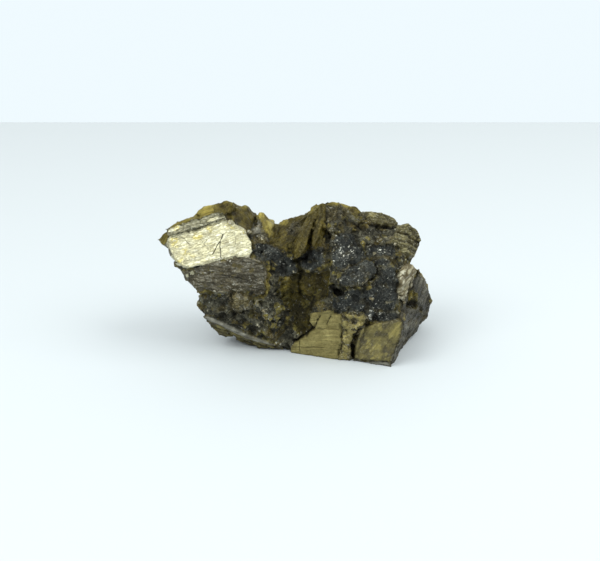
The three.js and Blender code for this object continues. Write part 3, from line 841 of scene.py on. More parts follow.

# %% [markdown]
# ## Lighter, brighter and yellower places
# No mineral has the same tone all over: a face that is stained or thin is darker, and a crystal's
# clear edge is lighter. Some of these places are painted light and shade as well: painted shade
# where a face is turned away, and painted highlights on edges and ridges. Seeded noise puts such
# places anywhere, so the ones that make this stone what it is are set one by one, as a place and
# a reach that fades out.

# %% Lighter and darker places
# Each tone: how much lighter it is, or darker if negative, across, up, its reach in mm. They
# mix the stone's own tone with painted light and painted shade.
TONES_LIGHT_AND_SHADE = [
    # rim, cap, knob and saddle
    (0.75, -0.64, 0.93, 2), (0.2, -0.5, 0.98, 1.2), (0.5, -0.37, 0.96, 0.7), (-0.5, -0.33, 0.87, 1.4),
    (-0.6, -0.4, 0.885, 1.2), (-0.5, -0.45, 0.92, 1), (-0.45, -0.34, 0.92, 1.3),
    (0.7, -0.25, 0.91, 0.8), (-0.25, -0.15, 0.82, 1), (-0.4, -0.03, 0.76, 1.4), (-0.3, 0, 0.83, 1.2),
    (0.8, -0.28, 0.84, 0.9), (0.7, -0.25, 0.77, 1), (0.4, -0.21, 0.82, 1), (0.3, -0.87, 0.84, 1.2),
    # fins, top and bands
    (0.1, 0.05, 0.74, 1.2), (0.05, 0.12, 0.87, 1), (-0.2, 0.1, 0.8, 2), (-0.3, 0.17, 0.75, 1.0),
    (-0.35, 0.2, 0.9, 1.3), (0.4, 0.56, 0.92, 1.4), (-0.3, 0.68, 0.86, 0.8), (-0.25, 0.84, 0.8, 1.8),
    (-0.4, 0.8, 0.79, 0.8), (-0.3, 0.83, 0.75, 0.8), (0.5, 0.3, 0.99, 1), (0.6, 0.37, 0.97, 1),
    (-0.4, 0.6, 0.8, 2.2), (-0.3, 0.46, 0.87, 1.6), (-0.4, 0.33, 0.83, 1.4), (0.3, 0.27, 0.94, 1.2),
    (0.1, 0.7, 0.78, 1.2),
    # flaky face
    (0.3, -0.64, 0.56, 2), (0.25, -0.44, 0.61, 1.8), (-0.25, -0.26, 0.55, 1.8), (0.3, -0.55, 0.55, 3),
    (0.5, -0.46, 0.5, 1.7), (-0.35, -0.53, 0.6, 0.9), (0.5, -0.5, 0.46, 0.9), (0.4, -0.58, 0.62, 0.8),
    (-0.4, -0.6, 0.5, 0.9), (0.35, -0.33, 0.64, 0.8), (-0.4, -0.36, 0.58, 0.9), (0.3, -0.3, 0.49, 0.8),
    # low on the left
    (-0.15, -0.62, 0.4, 2.2), (0.4, -0.64, 0.33, 1.2), (-0.1, -0.42, 0.28, 1.8),
    (0.1, -0.24, 0.38, 1.6), (0.7, -0.24, 0.28, 2.6), (0.6, -0.47, 0.34, 1.8), (0.4, -0.62, 0.38, 1),
    (0.15, -0.12, 0.3, 1.5), (0.8, -0.42, 0.4, 1.8), (0.6, -0.35, 0.36, 1.4), (0.6, -0.27, 0.385, 0.8),
    (0.6, -0.22, 0.32, 0.8), (0.6, -0.26, 0.25, 0.8), (0.6, -0.6, 0.285, 0.7),
    (0.8, -0.53, 0.262, 0.7), (0.9, -0.45, 0.228, 0.7), (0.9, -0.37, 0.195, 0.7),
    (0.8, -0.28, 0.168, 0.7), (0.6, -0.2, 0.145, 0.7), (0.6, -0.12, 0.15, 1.2), (-0.3, -0.5, 0.19, 1),
    (-0.3, -0.38, 0.14, 1), (-0.3, -0.26, 0.11, 1), (-0.3, -0.6, 0.235, 0.8),
    # hollow
    (0.7, 0.06, 0.3, 1.8), (-0.5, 0.08, 0.63, 2), (0.2, 0.17, 0.42, 1.2), (0.3, -0.05, 0.52, 1.2),
    (-0.5, 0.25, 0.6, 1.6), (-0.4, 0.24, 0.78, 1.2),
    # dark right half
    (-0.5, 0.38, 0.88, 1.2), (-0.4, 0.5, 0.7, 1.4), (-0.5, 0.62, 0.63, 1.2), (-0.6, 0.32, 0.46, 1.5),
    (0.5, 0.35, 0.7, 2.2), (0.8, 0.62, 0.7, 0.9), (0.8, 0.67, 0.69, 0.9), (-0.3, 0.37, 0.85, 2.2),
    (0.2, 0.45, 0.42, 1.4), (-0.4, 0.43, 0.56, 2.2), (-0.45, 0.12, 0.65, 2.2), (0.3, 0.04, 0.38, 1),
    # right foot
    (0.3, 0.57, 0.11, 0.9), (0.3, 0.5, 0.18, 0.8), (-0.3, 0.55, 0.19, 0.8), (-0.3, 0.64, 0.195, 0.8),
    # left foot
    (0.2, 0.25, 0.18, 2.6), (0.2, 0.3, 0.29, 1.4), (-0.2, 0, 0.12, 1.0),
    # right end and flake
    (-0.6, 0.87, 0.38, 1.1), (-0.35, 0.9, 0.47, 1.6), (0.8, 0.925, 0.56, 1.1), (0.6, 0.83, 0.24, 1.2),
    (0.6, 0.95, 0.3, 0.9), (-0.4, 0.9, 0.31, 0.9), (-0.1, 0.82, 0.55, 2), (0.5, 0.97, 0.42, 0.8),
    (-0.4, 0.94, 0.36, 1.2), (-0.4, 0.88, 0.52, 1.2), (0.5, 0.95, 0.48, 0.9), (-0.5, 0.92, 0.43, 0.8),
    (0.5, 0.78, 0.17, 1.2), (0.4, 0.87, 0.27, 1.2), (-0.3, 0.84, 0.3, 1),
]
print("lighter and darker places:", len(TONES_LIGHT_AND_SHADE))

# %% Crowds of flecks
# Where bright flecks, partly painted glints, crowd together: across, up, reach in mm.
SPARKLES = [
    (0.285, 0.755, 0.5), (0.29, 0.725, 0.6), (0.28, 0.7, 0.5), (0.36, 0.66, 1.6), (0.42, 0.69, 0.8),
    (0.61, 0.7, 0.8), (0.65, 0.69, 0.8), (0.69, 0.695, 0.6), (0.54, 0.74, 0.7), (0.62, 0.77, 1),
    (0.38, 0.43, 0.7), (0.34, 0.53, 0.4), (0.37, 0.58, 0.4), (0.485, 0.56, 0.4), (0.45, 0.32, 0.6),
    (0.55, 0.31, 1.2), (0.65, 0.31, 1.2), (-0.27, 0.38, 0.9), (-0.22, 0.32, 0.9), (-0.27, 0.25, 0.8),
    (-0.01, 0.57, 0.5), (0.32, 0.52, 0.35), (0.35, 0.56, 0.35), (0.39, 0.6, 0.35), (0.5, 0.5, 0.35),
    (-0.14, 0.62, 0.4), (-0.2, 0.68, 0.8), (-0.15, 0.44, 0.4), (0.55, 0.86, 0.6), (0.27, 0.97, 0.6),
    (-0.1, 0.13, 0.7), (-0.36, 0.35, 0.5), (0.02, 0.19, 0.4), (0.76, 0.84, 0.5),
]
print("crowds of flecks:", len(SPARKLES))

# %% Yellower places
# Where the bronze face and the right foot are yellower: across, up, reach in mm.
YELLOWS = [
    # bronze face
    (-0.87, 0.75, 1.4), (-0.8, 0.7, 1.2), (-0.84, 0.64, 1.2), (-0.7, 0.79, 1.4), (-0.74, 0.66, 1),
    (-0.37, 0.81, 0.5), (-0.62, 0.82, 1), (-0.48, 0.84, 0.8), (-0.87, 0.835, 0.8),
    # right foot
    (0.75, 0.25, 1), (0.73, 0.21, 1.2), (0.7, 0.19, 0.9), (0.63, 0.235, 0.7), (0.62, 0.22, 0.5),
    (0.57, 0.05, 0.6), (0.62, 0.045, 0.6), (0.67, 0.045, 0.6), (0.6, 0.12, 0.8), (0.54, 0.15, 0.7),
]
print("yellower places:", len(YELLOWS))

# %% [markdown]
# ## Patches of the back
# The back is drawn on the sheet behind in the same way, with fewer and larger patches: dark
# ground, broken crystals, a layered face and a second bronze face. Leaving it bare would give a
# stone that looks finished from one side only.

# %% Patches of the back
BACK_STENCILS = [
    ("slate", 20, 0, [
        (0.12, 0.2), (0.18, 0.42), (0.14, 0.6), (0.3, 0.74), (0.52, 0.7), (0.66, 0.6), (0.6, 0.42),
        (0.66, 0.3), (0.45, 0.22), (0.3, 0.26),
    ]),
    # second bronze face, broken along its edges
    ("dark_foot", -12, 0.2, [
        (-0.42, 0.3), (-0.46, 0.4), (-0.38, 0.46), (-0.36, 0.56), (-0.2, 0.58), (-0.16, 0.52),
        (0.02, 0.5), (0.08, 0.4), (0.02, 0.32), (-0.1, 0.34), (-0.16, 0.24), (-0.34, 0.22),
    ]),
    ("rough_foot", -30, 0.1, [
        (0.02, 0.5), (0.1, 0.44), (0.08, 0.3), (-0.02, 0.22), (-0.12, 0.26), (0, 0.4),
    ]),
    ("schist", 10, 0, [
        (-0.7, 0.3), (-0.6, 0.5), (-0.44, 0.48), (-0.5, 0.3), (-0.4, 0.16), (-0.6, 0.14),
    ]),
    ("olive", 40, 0.2, [(-0.9, 0.55), (-0.7, 0.8), (-0.4, 0.85), (-0.5, 0.6), (-0.7, 0.45)]),
    ("olive", -15, 0.2, [(0.2, 0.85), (0.6, 1.0), (0.8, 0.9), (0.7, 0.75), (0.4, 0.75)]),
    ("steel", 0, 0, [(-0.9, 0.1), (-0.9, 0.4), (-0.6, 0.45), (-0.5, 0.15)]),
    ("smoky", 60, -0.3, [(-0.1, 0.65), (0.0, 0.85), (0.2, 0.8), (0.2, 0.6)]),
]
print("patches of the back:", len(BACK_STENCILS))

# %% [markdown]
# ## Drawing on the corners
# For each mineral every corner keeps a score: how many millimetres it is inside that mineral's
# patches, or outside them if negative. When a patch is laid, the scores of all the other
# minerals drop as far below zero inside it, so that no two of them are above zero in the same
# place. A plain yes or no for each corner would be simpler, but it would show the mesh in every
# edge.

# %% How far inside an outline
def inside_outline(points, corners):
    """How far in from an outline the points are; negative outside it."""
    nearest = np.full(len(points), np.inf)
    inside = np.zeros(len(points), bool)
    for start, end in zip(corners, np.roll(corners, -1, axis=0)):
        edge = end - start
        along = np.clip((points - start) @ edge / (edge @ edge), 0, 1)
        nearest = np.minimum(nearest, np.linalg.norm(points - start - along[:, None] * edge, axis=1))
        crossed = (start[1] > points[:, 1]) != (end[1] > points[:, 1])
        turn = start[0] + (points[:, 1] - start[1]) * edge[0] / (edge[1] if edge[1] else 1e-9)
        inside ^= crossed & (points[:, 0] < turn)
    return np.where(inside, nearest, -nearest)


def smooth(values):
    values = np.clip(values, 0, 1)
    return values * values * (3 - 2 * values)


square = np.array([(-1, -1), (1, -1), (1, 1), (-1, 1)])
print("the middle of a square is this far inside it:", inside_outline(np.zeros((1, 2)), square)[0])

# %% What every corner keeps
# How far from an edge a score is still kept, in mm.
FAR = 1.5
painted = {mineral: np.full(len(places), -FAR) for mineral in MINERALS}
lay = np.tile(unit((0.6, -0.3, 0.74)), (len(places), 1))
raised, groove_shade, tone_light_and_shade, sparkle, yellow = (np.zeros(len(places)) for _ in range(5))
print("layers of plain ground run along:", lay[0].round(2))

# %% Lay a patch
# Clean faces: their edges are only wavy, and they take corners that look well towards the eye.
FACES = ("gold", "foot", "dark_foot", "rough_foot", "grey")
FACE_TURN, GRAIN_TURN = 0.15, -0.25
# How fast the score falls where the surface turns away, in mm.
TURN_FALL = 3
# How far outside its edge a patch still turns the layers, and how wide its rise is, in mm.
LAY_MARGIN, RISE = 0.15, 0.5


def paint(mineral, score, direction, stands_out):
    """Lays a mineral over whatever was painted before. The score is how far inside it is, in mm."""
    score = np.clip(score, -FAR, FAR)
    for other in painted:
        if other != mineral:
            painted[other] = np.minimum(painted[other], -score)
    painted[mineral] = np.maximum(painted[mineral], score)
    lay[score > -LAY_MARGIN] = direction
    np.add(raised, stands_out * smooth(score / RISE), out=raised)


def paint_outline(sheet, mineral, slant, stands_out, outline):
    corners = sheet.spots(outline)
    lowest, highest = corners.min(axis=0) - FAR, corners.max(axis=0) + FAR
    near = np.all((sheet.seen > lowest) & (sheet.seen < highest), axis=1)
    least_turn, seen = (FACE_TURN, sheet.true_seen) if mineral in FACES else (GRAIN_TURN, sheet.seen)
    turned = (sheet.facing[near] - least_turn) * TURN_FALL
    score = np.full(len(places), -FAR)
    score[near] = np.minimum(inside_outline(seen[near], corners), turned)
    paint(mineral, score, sheet.lay(score > 0, slant), stands_out)


# %% Lay the patches of the back, then of the front
for patch in BACK_STENCILS:
    paint_outline(back, *patch)
for patch in STENCILS:
    paint_outline(front, *patch)
print("share of ground left:", round(float((np.max(list(painted.values()), axis=0) < 0).mean()), 3))

# %% Crumbs and veins
CRUMB_SLANT = 30


def seen_only(sheet, score):
    return np.where(sheet.facing > 0, score, -FAR)


def off_line(sheet, points):
    """How far each corner is from a line of points drawn on the sheet, in mm."""
    corners = sheet.spots(points)
    nearest = np.full(len(places), FAR * 2)
    for start, end in zip(corners[:-1], corners[1:]):
        edge = end - start
        along = np.clip((sheet.seen - start) @ edge / (edge @ edge), 0, 1)
        nearest = np.minimum(nearest, np.linalg.norm(sheet.seen - start - along[:, None] * edge, axis=1))
    return nearest


def paint_spots(sheet, mineral, stands_out, spots):
    for across, up, reach in spots:
        score = seen_only(sheet, reach - sheet.away(across, up))
        paint(mineral, score, sheet.lay(score > 0, CRUMB_SLANT), stands_out)


def paint_vein(sheet, mineral, stands_out, width, points):
    score = seen_only(sheet, width / 2 - off_line(sheet, points))
    along = sheet.spots(points)[-1] - sheet.spots(points)[0]
    slant = math.degrees(math.atan2(along[1], along[0]))
    paint(mineral, score, sheet.lay(score > 0, slant), stands_out)


for crumbs in SPOTS:
    paint_spots(front, *crumbs)
for vein in VEINS:
    paint_vein(front, *vein)
shares = {mineral: round(float((score > 0).mean()), 3) for mineral, score in painted.items()}
print("share of corners in each mineral:", shares)

# %% Grooves and swells
# How much a groove widens beyond its line, in mm.
GROOVE_EDGE = 0.06
# A swell moves only what turns sideways to the eye, so that it shifts the outline.
SIDEWAYS = 0.75
# How many times its reach a place takes to fade out.
WIDE_FADE, NARROW_FADE = 1.3, 1.25


def cut_groove(sheet, width, depth, points):
    cut = smooth(1 - off_line(sheet, points) / (width * 0.5 + GROOVE_EDGE)) * (sheet.facing > 0)
    np.subtract(raised, depth * cut, out=raised)
    # Painted shade: the groove is also kept, so that the finish darkens it.
    np.maximum(groove_shade, cut * min(1, depth), out=groove_shade)


def swell(sheet, height, across, up, reach):
    centre = sheet.spots([(across, up)])[0]
    away = np.linalg.norm(sheet.true_seen - centre, axis=1)
    sideways = np.abs(sheet.facing) < SIDEWAYS
    np.add(raised, height * smooth(WIDE_FADE - away / reach) * sideways, out=raised)


for groove in GROOVES:
    cut_groove(front, *groove)
for lump in SWELLS:
    swell(front, *lump)
print("raised, in mm:", raised.min().round(2), "to", raised.max().round(2))

# %% Cracks
def mark_crack(sheet, number, points):
    """Stores the distance to either side of a crack, and how far inside its two ends each corner is."""
    corners = sheet.spots(points)
    nearest, side, inside = (np.full(len(places), FAR * 2) for _ in range(3))
    for start, end in zip(corners[:-1], corners[1:]):
        length = np.linalg.norm(end - start)
        edge = (end - start) / length
        along = (sheet.true_seen - start) @ edge
        across = (sheet.true_seen - start) @ np.array((-edge[1], edge[0]))
        past = np.maximum(-along, along - length)
        away = np.hypot(across, np.maximum(past, 0))
        closer = away < nearest
        nearest[closer], side[closer], inside[closer] = away[closer], across[closer], -past[closer]
    inside[sheet.facing < 0] = -FAR
    store(stone, f"crack_{number}", np.stack([side, np.clip(inside, -FAR, FAR), 0 * side], axis=1))


for number, (width, points) in enumerate(CRACKS):
    mark_crack(front, number, points)
print("cracks marked:", len(CRACKS))

# %% Tones and crowds
def shade_place(sheet, amount, across, up, reach):
    near = smooth(NARROW_FADE - sheet.away(across, up) / reach)
    np.add(tone_light_and_shade, amount * near * (sheet.facing > 0), out=tone_light_and_shade)


def gather(sheet, crowd, across, up, reach):
    near = smooth(WIDE_FADE - sheet.away(across, up) / reach)
    np.maximum(crowd, near * (sheet.facing > 0), out=crowd)


for place in TONES_LIGHT_AND_SHADE:
    shade_place(front, *place)
for place in SPARKLES:
    gather(front, sparkle, *place)
for place in YELLOWS:
    gather(front, yellow, *place)
print("tone:", tone_light_and_shade.min().round(2), "to", tone_light_and_shade.max().round(2))

# %% Store it all on the mesh
DARKEST, LIGHTEST = -0.75, 0.9
# The thin left tip stays calm, because coarse grains would break it up.
CALM_END = low.x + 5 * MM
CALM_FADE = 3 * MM
calm = smooth((CALM_END - places[:, 0]) / CALM_FADE)
stored = {
    **painted, "lay": lay, "rest": places, "raised": raised, "groove_shade": groove_shade,
    "tone_light_and_shade": np.clip(tone_light_and_shade, DARKEST, LIGHTEST), "sparkle": sparkle, "yellow": yellow, "calm": calm,
}
for name, values in stored.items():
    store(stone, name, values)
print("values stored on each corner:", len(stored) + len(CRACKS))

# %% [markdown]
# ## Relief
# Grains stand out of the ground, blades and fibres run through the crystals, the flaky faces
# are full of small ledges, and the bronze faces are nearly flat with low cleavage steps. A bump
# in the material would show none of that in the outline, and sculpting it would take days. One
# geometry-node tree reads the scores, makes a height for each mineral, pushes the corners out
# along their normals and keeps the height, so that the finish can tell high from low.

# %% Start the relief tree
def new_tree(name):
    tree = bpy.data.node_groups.new(name, "GeometryNodeTree")
    for way in ("INPUT", "OUTPUT"):
        tree.interface.new_socket("Geometry", in_out=way, socket_type="NodeSocketGeometry")
    return tree


tree = new_tree("relief")
g = RockGraph(tree)
start = g.add("NodeGroupInput")
end = g.add("NodeGroupOutput")
here = g.add("GeometryNodeInputPosition")[0]
at = g.scaled(here, 1 / MM)
facing = g.add("GeometryNodeInputNormal")[0]
print("relief tree:", tree.name)

# %% Read the scores
def read(name, kind="FLOAT"):
    return g.add("GeometryNodeInputNamedAttribute", {"data_type": kind}, {"Name": name})[0]


def cover(name, soft=0.15):
    """1 on a mineral, 0 off it, with an edge as wide as `soft` mm to either side."""
    return g.step(read(name), -soft, soft)


layers = read("lay", "FLOAT_VECTOR")
gold, foot, grey = cover("gold"), cover("foot"), cover("grey")
plain = g.most(gold, foot, grey, cover("dark_foot"))
resin = cover("resin")
waxy = g.most(cover("olive"), cover("honey"), cover("tan"), cover("cream"), resin * 0.35)
slaty = g.most(cover("slate"), cover("schist"))
stepped = g.most(cover("banded"), cover("strips") * 0.2)
granular = (1 - g.most(plain, waxy, slaty, stepped, resin)) * (1 - 0.35 * cover("smoky"))
granular = granular * (1 - read("calm")) * (1 - 0.5 * cover("rough_foot"))
print("nodes so far:", len(tree.nodes))

# %% Lumps, grains and fibres
# Spacings in mm. The share given to along_layers is the length that is left along the layers, so
# a smaller share gives longer streaks.
WIDE_LUMP, SMALL_LUMP, COARSE_GRAIN, FINE_GRAIN = 4.5, 1.9, 2.4, 1.0
stir = g.stirred(at, 1.6, 0.5)
lumps = g.noise(at, WIDE_LUMP, 1) * 0.35 + g.noise(at, SMALL_LUMP, 2) * 0.30
coarse_grains = g.pyramids(stir, COARSE_GRAIN) * 0.26 + g.facets(stir, COARSE_GRAIN) * 0.42
grains = g.pyramids(stir, FINE_GRAIN) * 0.35 + g.facets(stir, FINE_GRAIN) * 0.35
fibres = g.noise(g.along_layers(at, layers, 0.14), 1.0, 2)
fine_fibres = g.noise(g.along_layers(at, layers, 0.12), 0.5, 1)
print("nodes so far:", len(tree.nodes))

# %% Blades, bands and cleavage steps
blades = g.ledges(g.noise(g.along_layers(at, layers, 0.25), 2.2, 2), 4)
bands = g.ledges(g.noise(g.along_layers(at, layers, 0.06), 1.7, 1), 5)
scales = g.facets(g.along_layers(stir, layers, 0.45), 0.8)
treads = g.ledges(g.noise(g.along_layers(at, layers, 0.22), 2.2, 3), 5, 0.85)
wrinkles = g.noise(g.along_layers(at, layers, 0.15), 0.7, 2)
print("nodes so far:", len(tree.nodes))

# %% One height for all minerals
# How far the whole surface is drawn in, in mm, so that the grains stay inside the CAD box.
SINK = 0.12
# The grains are cut into the ground from this high, in mm.
GRAIN_TOP = 0.6
ground_relief = (coarse_grains + grains + GRAIN_TOP) * granular * (1 - 0.45 * cover("steel", 0.5))
waxy_relief = (fibres * 0.22 + fine_fibres * 0.14 + blades * 0.14) * waxy
slaty_relief = (fibres * 0.10 + fine_fibres * 0.10 + blades * 0.34 + scales * 0.35) * slaty
stepped_relief = (bands * 0.45 + fine_fibres * 0.12) * stepped
face_relief = (treads * 0.12 + wrinkles * 0.09 + lumps * 0.35 + scales * 0.2) * plain
height = (
    read("raised") - SINK
    + lumps * (1 - plain) * (1 - 0.5 * slaty)
    + ground_relief
    + waxy_relief
    + slaty_relief
    + stepped_relief
    + face_relief * (1 - 0.8 * grey) * (1 - 0.7 * gold)
)
print("nodes so far:", len(tree.nodes))

# %% Push the surface and apply it
# The resting face may not be pushed below the floor.
FLOOR_GAP = 0.02 * MM
sockets = {"Geometry": start[0], "Name": "height", "Value": height}
noted = g.add("GeometryNodeStoreNamedAttribute", {"data_type": "FLOAT"}, sockets)
pushed = g.vector("ADD", here, g.scaled(facing, height * MM))
stopped = g.vector("MAXIMUM", pushed, (-1, -1, low.z + FLOOR_GAP))
moved = g.add("GeometryNodeSetPosition", {}, {"Geometry": noted[0], "Position": stopped})
tree.links.new(moved[0].socket, end.node.inputs[0])
apply_modifier(stone, "NODES", node_group=tree)
lowest = corner_values(stone, "co")[:, 2].min() - low.z
print("lowest corner above the floor, in mm:", round(lowest / MM, 3))

# %% Keep the mesh light
MOST_TRIANGLES = 195_000
apply_modifier(stone, "DECIMATE", ratio=min(1, MOST_TRIANGLES / triangles(stone)))
stone.data.shade_smooth()
print("triangles:", triangles(stone))

# %% [markdown]
# ## The finish
# The stone is one solid, so its minerals aren't separate pieces with a material each, and a
# change of material could only follow the edges of the triangles. One material reads the same
# scores as the relief and lays eighteen finishes over the ground, with ragged edges. No two of
# them claim the same place, so their order matters only along their edges.

# %% A surface and what it reads
def surface(name):
    material = bpy.data.materials.new(name)
    material.use_nodes = True
    material.node_tree.nodes.clear()
    graph = RockGraph(material.node_tree)
    shader = graph.add("ShaderNodeBsdfPrincipled")
    out = graph.add("ShaderNodeOutputMaterial")
    graph.tree.links.new(shader[0].socket, out.node.inputs["Surface"])
    return material, graph, shader.node


def painted_on(name, output="Fac"):
    return s.add("ShaderNodeAttribute", {"attribute_name": name})[output]


rock, s, shader = surface("bronzite_rock")
at = s.scaled(painted_on("rest", "Vector"), 1 / MM)
layers = painted_on("lay", "Vector")
print("material:", rock.name)

# %% Masks and coats
fray = s.noise(at, 0.5, 3) * 0.25


def mask(name, soft=0.06):
    """1 on a mineral, 0 off it, with a frayed edge."""
    return s.step(painted_on(name) + fray, -soft, soft)


def coated(colour, *coats):
    """Lays coats over a colour, one after another; each is a share and the coat's own colour."""
    for share, coat in coats:
        colour = s.mix(share, colour, coat)
    return colour


def lay_over(base, name, colour, soft=0.06, share=1.0):
    """Covers the base with a mineral's colour wherever that mineral was painted."""
    print("finish:", name)
    return s.mix(mask(name, soft) * share, base, colour)


print("nodes so far:", len(s.tree.nodes))

# %% [markdown]
# ### Patterns that the finishes share
# Every mineral here is uneven in a few ways: whole grains and plates differ in tone, wide
# clouds of darker and lighter stone run through it, fibres follow its layers, and dust and
# bright flecks lie all over. Making each pattern once keeps the tree small, and the same grain
# then has the same edge in its colour, its gloss and its bumps.

# %% Chances for grains, lumps, scales and plates
# Sizes in mm.
SPECK, GRAIN, LUMP, SCALE, PLATE, DUST, FLECK = 0.5, 1.15, 2.8, 0.5, 0.8, 0.3, 0.23
stir = s.stirred(at, 1.5, 0.55)
dust = s.stirred(at, 0.6, 0.15)
speck_chance, gloss_chance, rare_chance = s.lot(s.cells(stir, SPECK))
grain_chance, other_grain = s.lot(s.cells(stir, GRAIN))[:2]
lump_chance, other_lump = s.lot(s.cells(stir, LUMP))[:2]
scale_chance, other_scale = s.lot(s.cells(s.along_layers(stir, layers, 0.45), SCALE))[:2]
plate_chance, other_plate = s.lot(s.cells(s.along_layers(stir, layers, 0.6), PLATE))[:2]
dust_chance = s.lot(s.cells(dust, DUST))[0]
fleck_chance, pale_chance, dark_chance = s.lot(s.cells(s.along_layers(dust, layers, 0.75), FLECK))
print("nodes so far:", len(s.tree.nodes))

# %% Fibres, lines and clouds
fine = s.noise(s.along_layers(at, layers, 0.14), 0.55, 3)
wide = s.noise(s.along_layers(at, layers, 0.14), 1.5, 2)
lines = s.hairlines(at, layers, 1.1, 0.22)
more_lines = s.hairlines(stir, layers, 0.8, 0.25, 0.16)
long_lines = s.hairlines(at, layers, 0.85, 0.28, 0.04)
mottle = s.noise(at, 2.4, 4, 0.6)
micro = s.noise(at, 0.32, 2, 0.6)
print("nodes so far:", len(s.tree.nodes))

# %% Flecks, and painted highlight and shade from the height
sparkle, yellow = painted_on("sparkle"), painted_on("yellow")
dark_specks = s.step(dark_chance, 0.6, 0.9)
clusters = s.step(s.noise(at, 3.0, 2), 0.0, 0.5)
# Flecks are pale in colour, so they are partly painted glints. On open ground the gloss below also makes
# them small metal mirrors.
glint_flecks = s.step(fleck_chance + sparkle * 0.18 + clusters * 0.025, 0.975, 0.99)
height = painted_on("height")
# Painted light and shade from the height: low ground is darkened as painted shade, and high ground is
# lightened as painted highlights on the ridges.
low_ground = 1 - s.step(height, -0.75, 0.05)
ridge_highlight = s.step(height, 0.1, 0.65)
print("nodes so far:", len(s.tree.nodes))

# %% [markdown]
# ### Dark granular ground
# The ground is a crowd of black, brown, grey and olive grains, with a few pale ones. One noise
# would give soft clouds, and a printed pattern would repeat. Colours that follow the grains and
# lumps by chance look broken and mixed.

# %% The ground
# Coats: grey-brown and brown lumps, black and olive grains, dim specks, painted highlights on
# the ridges, then pale, dark and a few bright specks.
black, grey_brown, brown = (0.058, 0.056, 0.040), (0.21, 0.20, 0.14), (0.18, 0.135, 0.036)
olive_green, pale = (0.30, 0.25, 0.062), (0.46, 0.44, 0.33)
base = coated(
    black,
    (s.step(lump_chance + mottle * 0.5, 0.35, 0.75), grey_brown),
    (s.step(other_lump + mottle * 0.5, 0.55, 0.75), brown),
    (s.step(grain_chance + mottle * 0.3, 0.70, 0.82), black),
    (s.step(other_grain + mottle * 0.4, 0.76, 0.92), olive_green),
    (speck_chance * 0.5, (0.02, 0.019, 0.015)),
    (ridge_highlight * 0.4, (0.18, 0.155, 0.080)),
    (s.step(pale_chance, 0.55, 0.9) * 0.5, (0.25, 0.23, 0.16)),
    (dark_specks * 0.4, (0.016, 0.014, 0.009)),
    (s.step(rare_chance, 0.97, 0.985) * 0.7, pale),
)
print("nodes so far:", len(s.tree.nodes))

# %% [markdown]
# ### Dark glassy grains
# The steel-dark masses are glassy pyroxene: nearly black, cool in tone, with paler dust on them
# and bright flecks where a grain's face catches the light, partly small mirrors and partly painted
# glints. The hollow is smoky brown and partly clear, and so is the cap above the bronze face.
# Clear crystal would need glass, which the thin mixed edges here can't carry, so the light in its
# depth is painted: deep brown low down, and painted amber highlights on the ridges.

# %% Steel-dark masses
# Coats: paler lumps, brown grains, pale and dark specks, painted highlights on the ridges, a
# painted sheen where glints crowd, flecks that are partly painted glints.
steel = coated(
    (0.029, 0.033, 0.033),
    (s.step(lump_chance + mottle * 0.5, 0.2, 1.0), (0.069, 0.076, 0.073)),
    (s.step(grain_chance + mottle * 0.3, 0.8, 0.95) * 0.8, (0.060, 0.052, 0.028)),
    (s.step(pale_chance + micro * 0.3, 0.5, 1.1) * 0.7, (0.165, 0.165, 0.145)),
    (s.step(dark_chance, 0.5, 0.9) * 0.6, (0.014, 0.014, 0.012)),
    (ridge_highlight * 0.2, (0.15, 0.155, 0.14)),
    (sparkle * 0.2, (0.105, 0.108, 0.100)),
    (glint_flecks * 0.75, (0.42, 0.44, 0.42)),
)
base = lay_over(base, "steel", steel, soft=0.35)

# %% The smoky hollow
# Coats: amber clouds, dark lumps, pale and dark specks, a few amber grains, painted highlights on the
# ridges.
smoky = coated(
    (0.034, 0.025, 0.003),
    (s.step(wide * 0.4 + mottle, -0.5, 0.6), (0.30, 0.235, 0.034)),
    (s.step(lump_chance + mottle * 0.4, 0.72, 0.82) * 0.6, (0.025, 0.023, 0.014)),
    (s.step(pale_chance, 0.5, 1.0) * 0.5, (0.18, 0.15, 0.055)),
    (dark_specks * 0.5, (0.016, 0.012, 0.003)),
    (s.step(other_grain, 0.84, 0.90), (0.33, 0.28, 0.075)),
    (ridge_highlight * 0.5, (0.20, 0.155, 0.032)),
)
base = lay_over(base, "smoky", smoky, soft=0.2)

# %% The resin-brown cap
# Coats: olive-brown clouds, painted highlights on the ridges, fine pale fibres, dark plates.
resin = coated(
    (0.028, 0.019, 0.002),
    (s.step(mottle + wide * 0.5, -0.5, 0.6), (0.170, 0.135, 0.026)),
    (ridge_highlight * 0.5, (0.24, 0.20, 0.055)),
    (s.step(micro + fine * 0.5, -0.1, 0.7) * 0.4, (0.26, 0.215, 0.080)),
    (s.step(other_plate, 0.75, 0.9) * 0.4, (0.022, 0.015, 0.002)),
)
base = lay_over(base, "resin", resin, soft=0.5)

# %% [markdown]
# ### Olive and waxy crystals
# Olive blades and honey crystals have a waxy look: dark inside, light along their ridges and
# thin edges, with cleavage lines along their length. The tan and rusty lumps are the same
# crystals, weathered. Each goes from a dark to a light tone along its fibres, and a painted
# highlight makes its high ground lightest, which does more for the look than any change of gloss.

# %% Olive blades
# Coats: lighter blades, painted highlights on the ridges, cleavage lines, pale and dark specks.
olive = coated(
    (0.026, 0.019, 0.002),
    (s.step(fine * 0.35 + wide * 0.6 + mottle * 0.7, -0.8, 0.8), (0.155, 0.118, 0.020)),
    (ridge_highlight * 0.6, (0.27, 0.215, 0.050)),
    (lines * 0.4, (0.02, 0.014, 0.002)),
    (s.step(pale_chance, 0.6, 1.0) * 0.35, (0.26, 0.235, 0.12)),
    (dark_specks * 0.4, (0.024, 0.019, 0.006)),
)
base = lay_over(base, "olive", olive, soft=0.1)

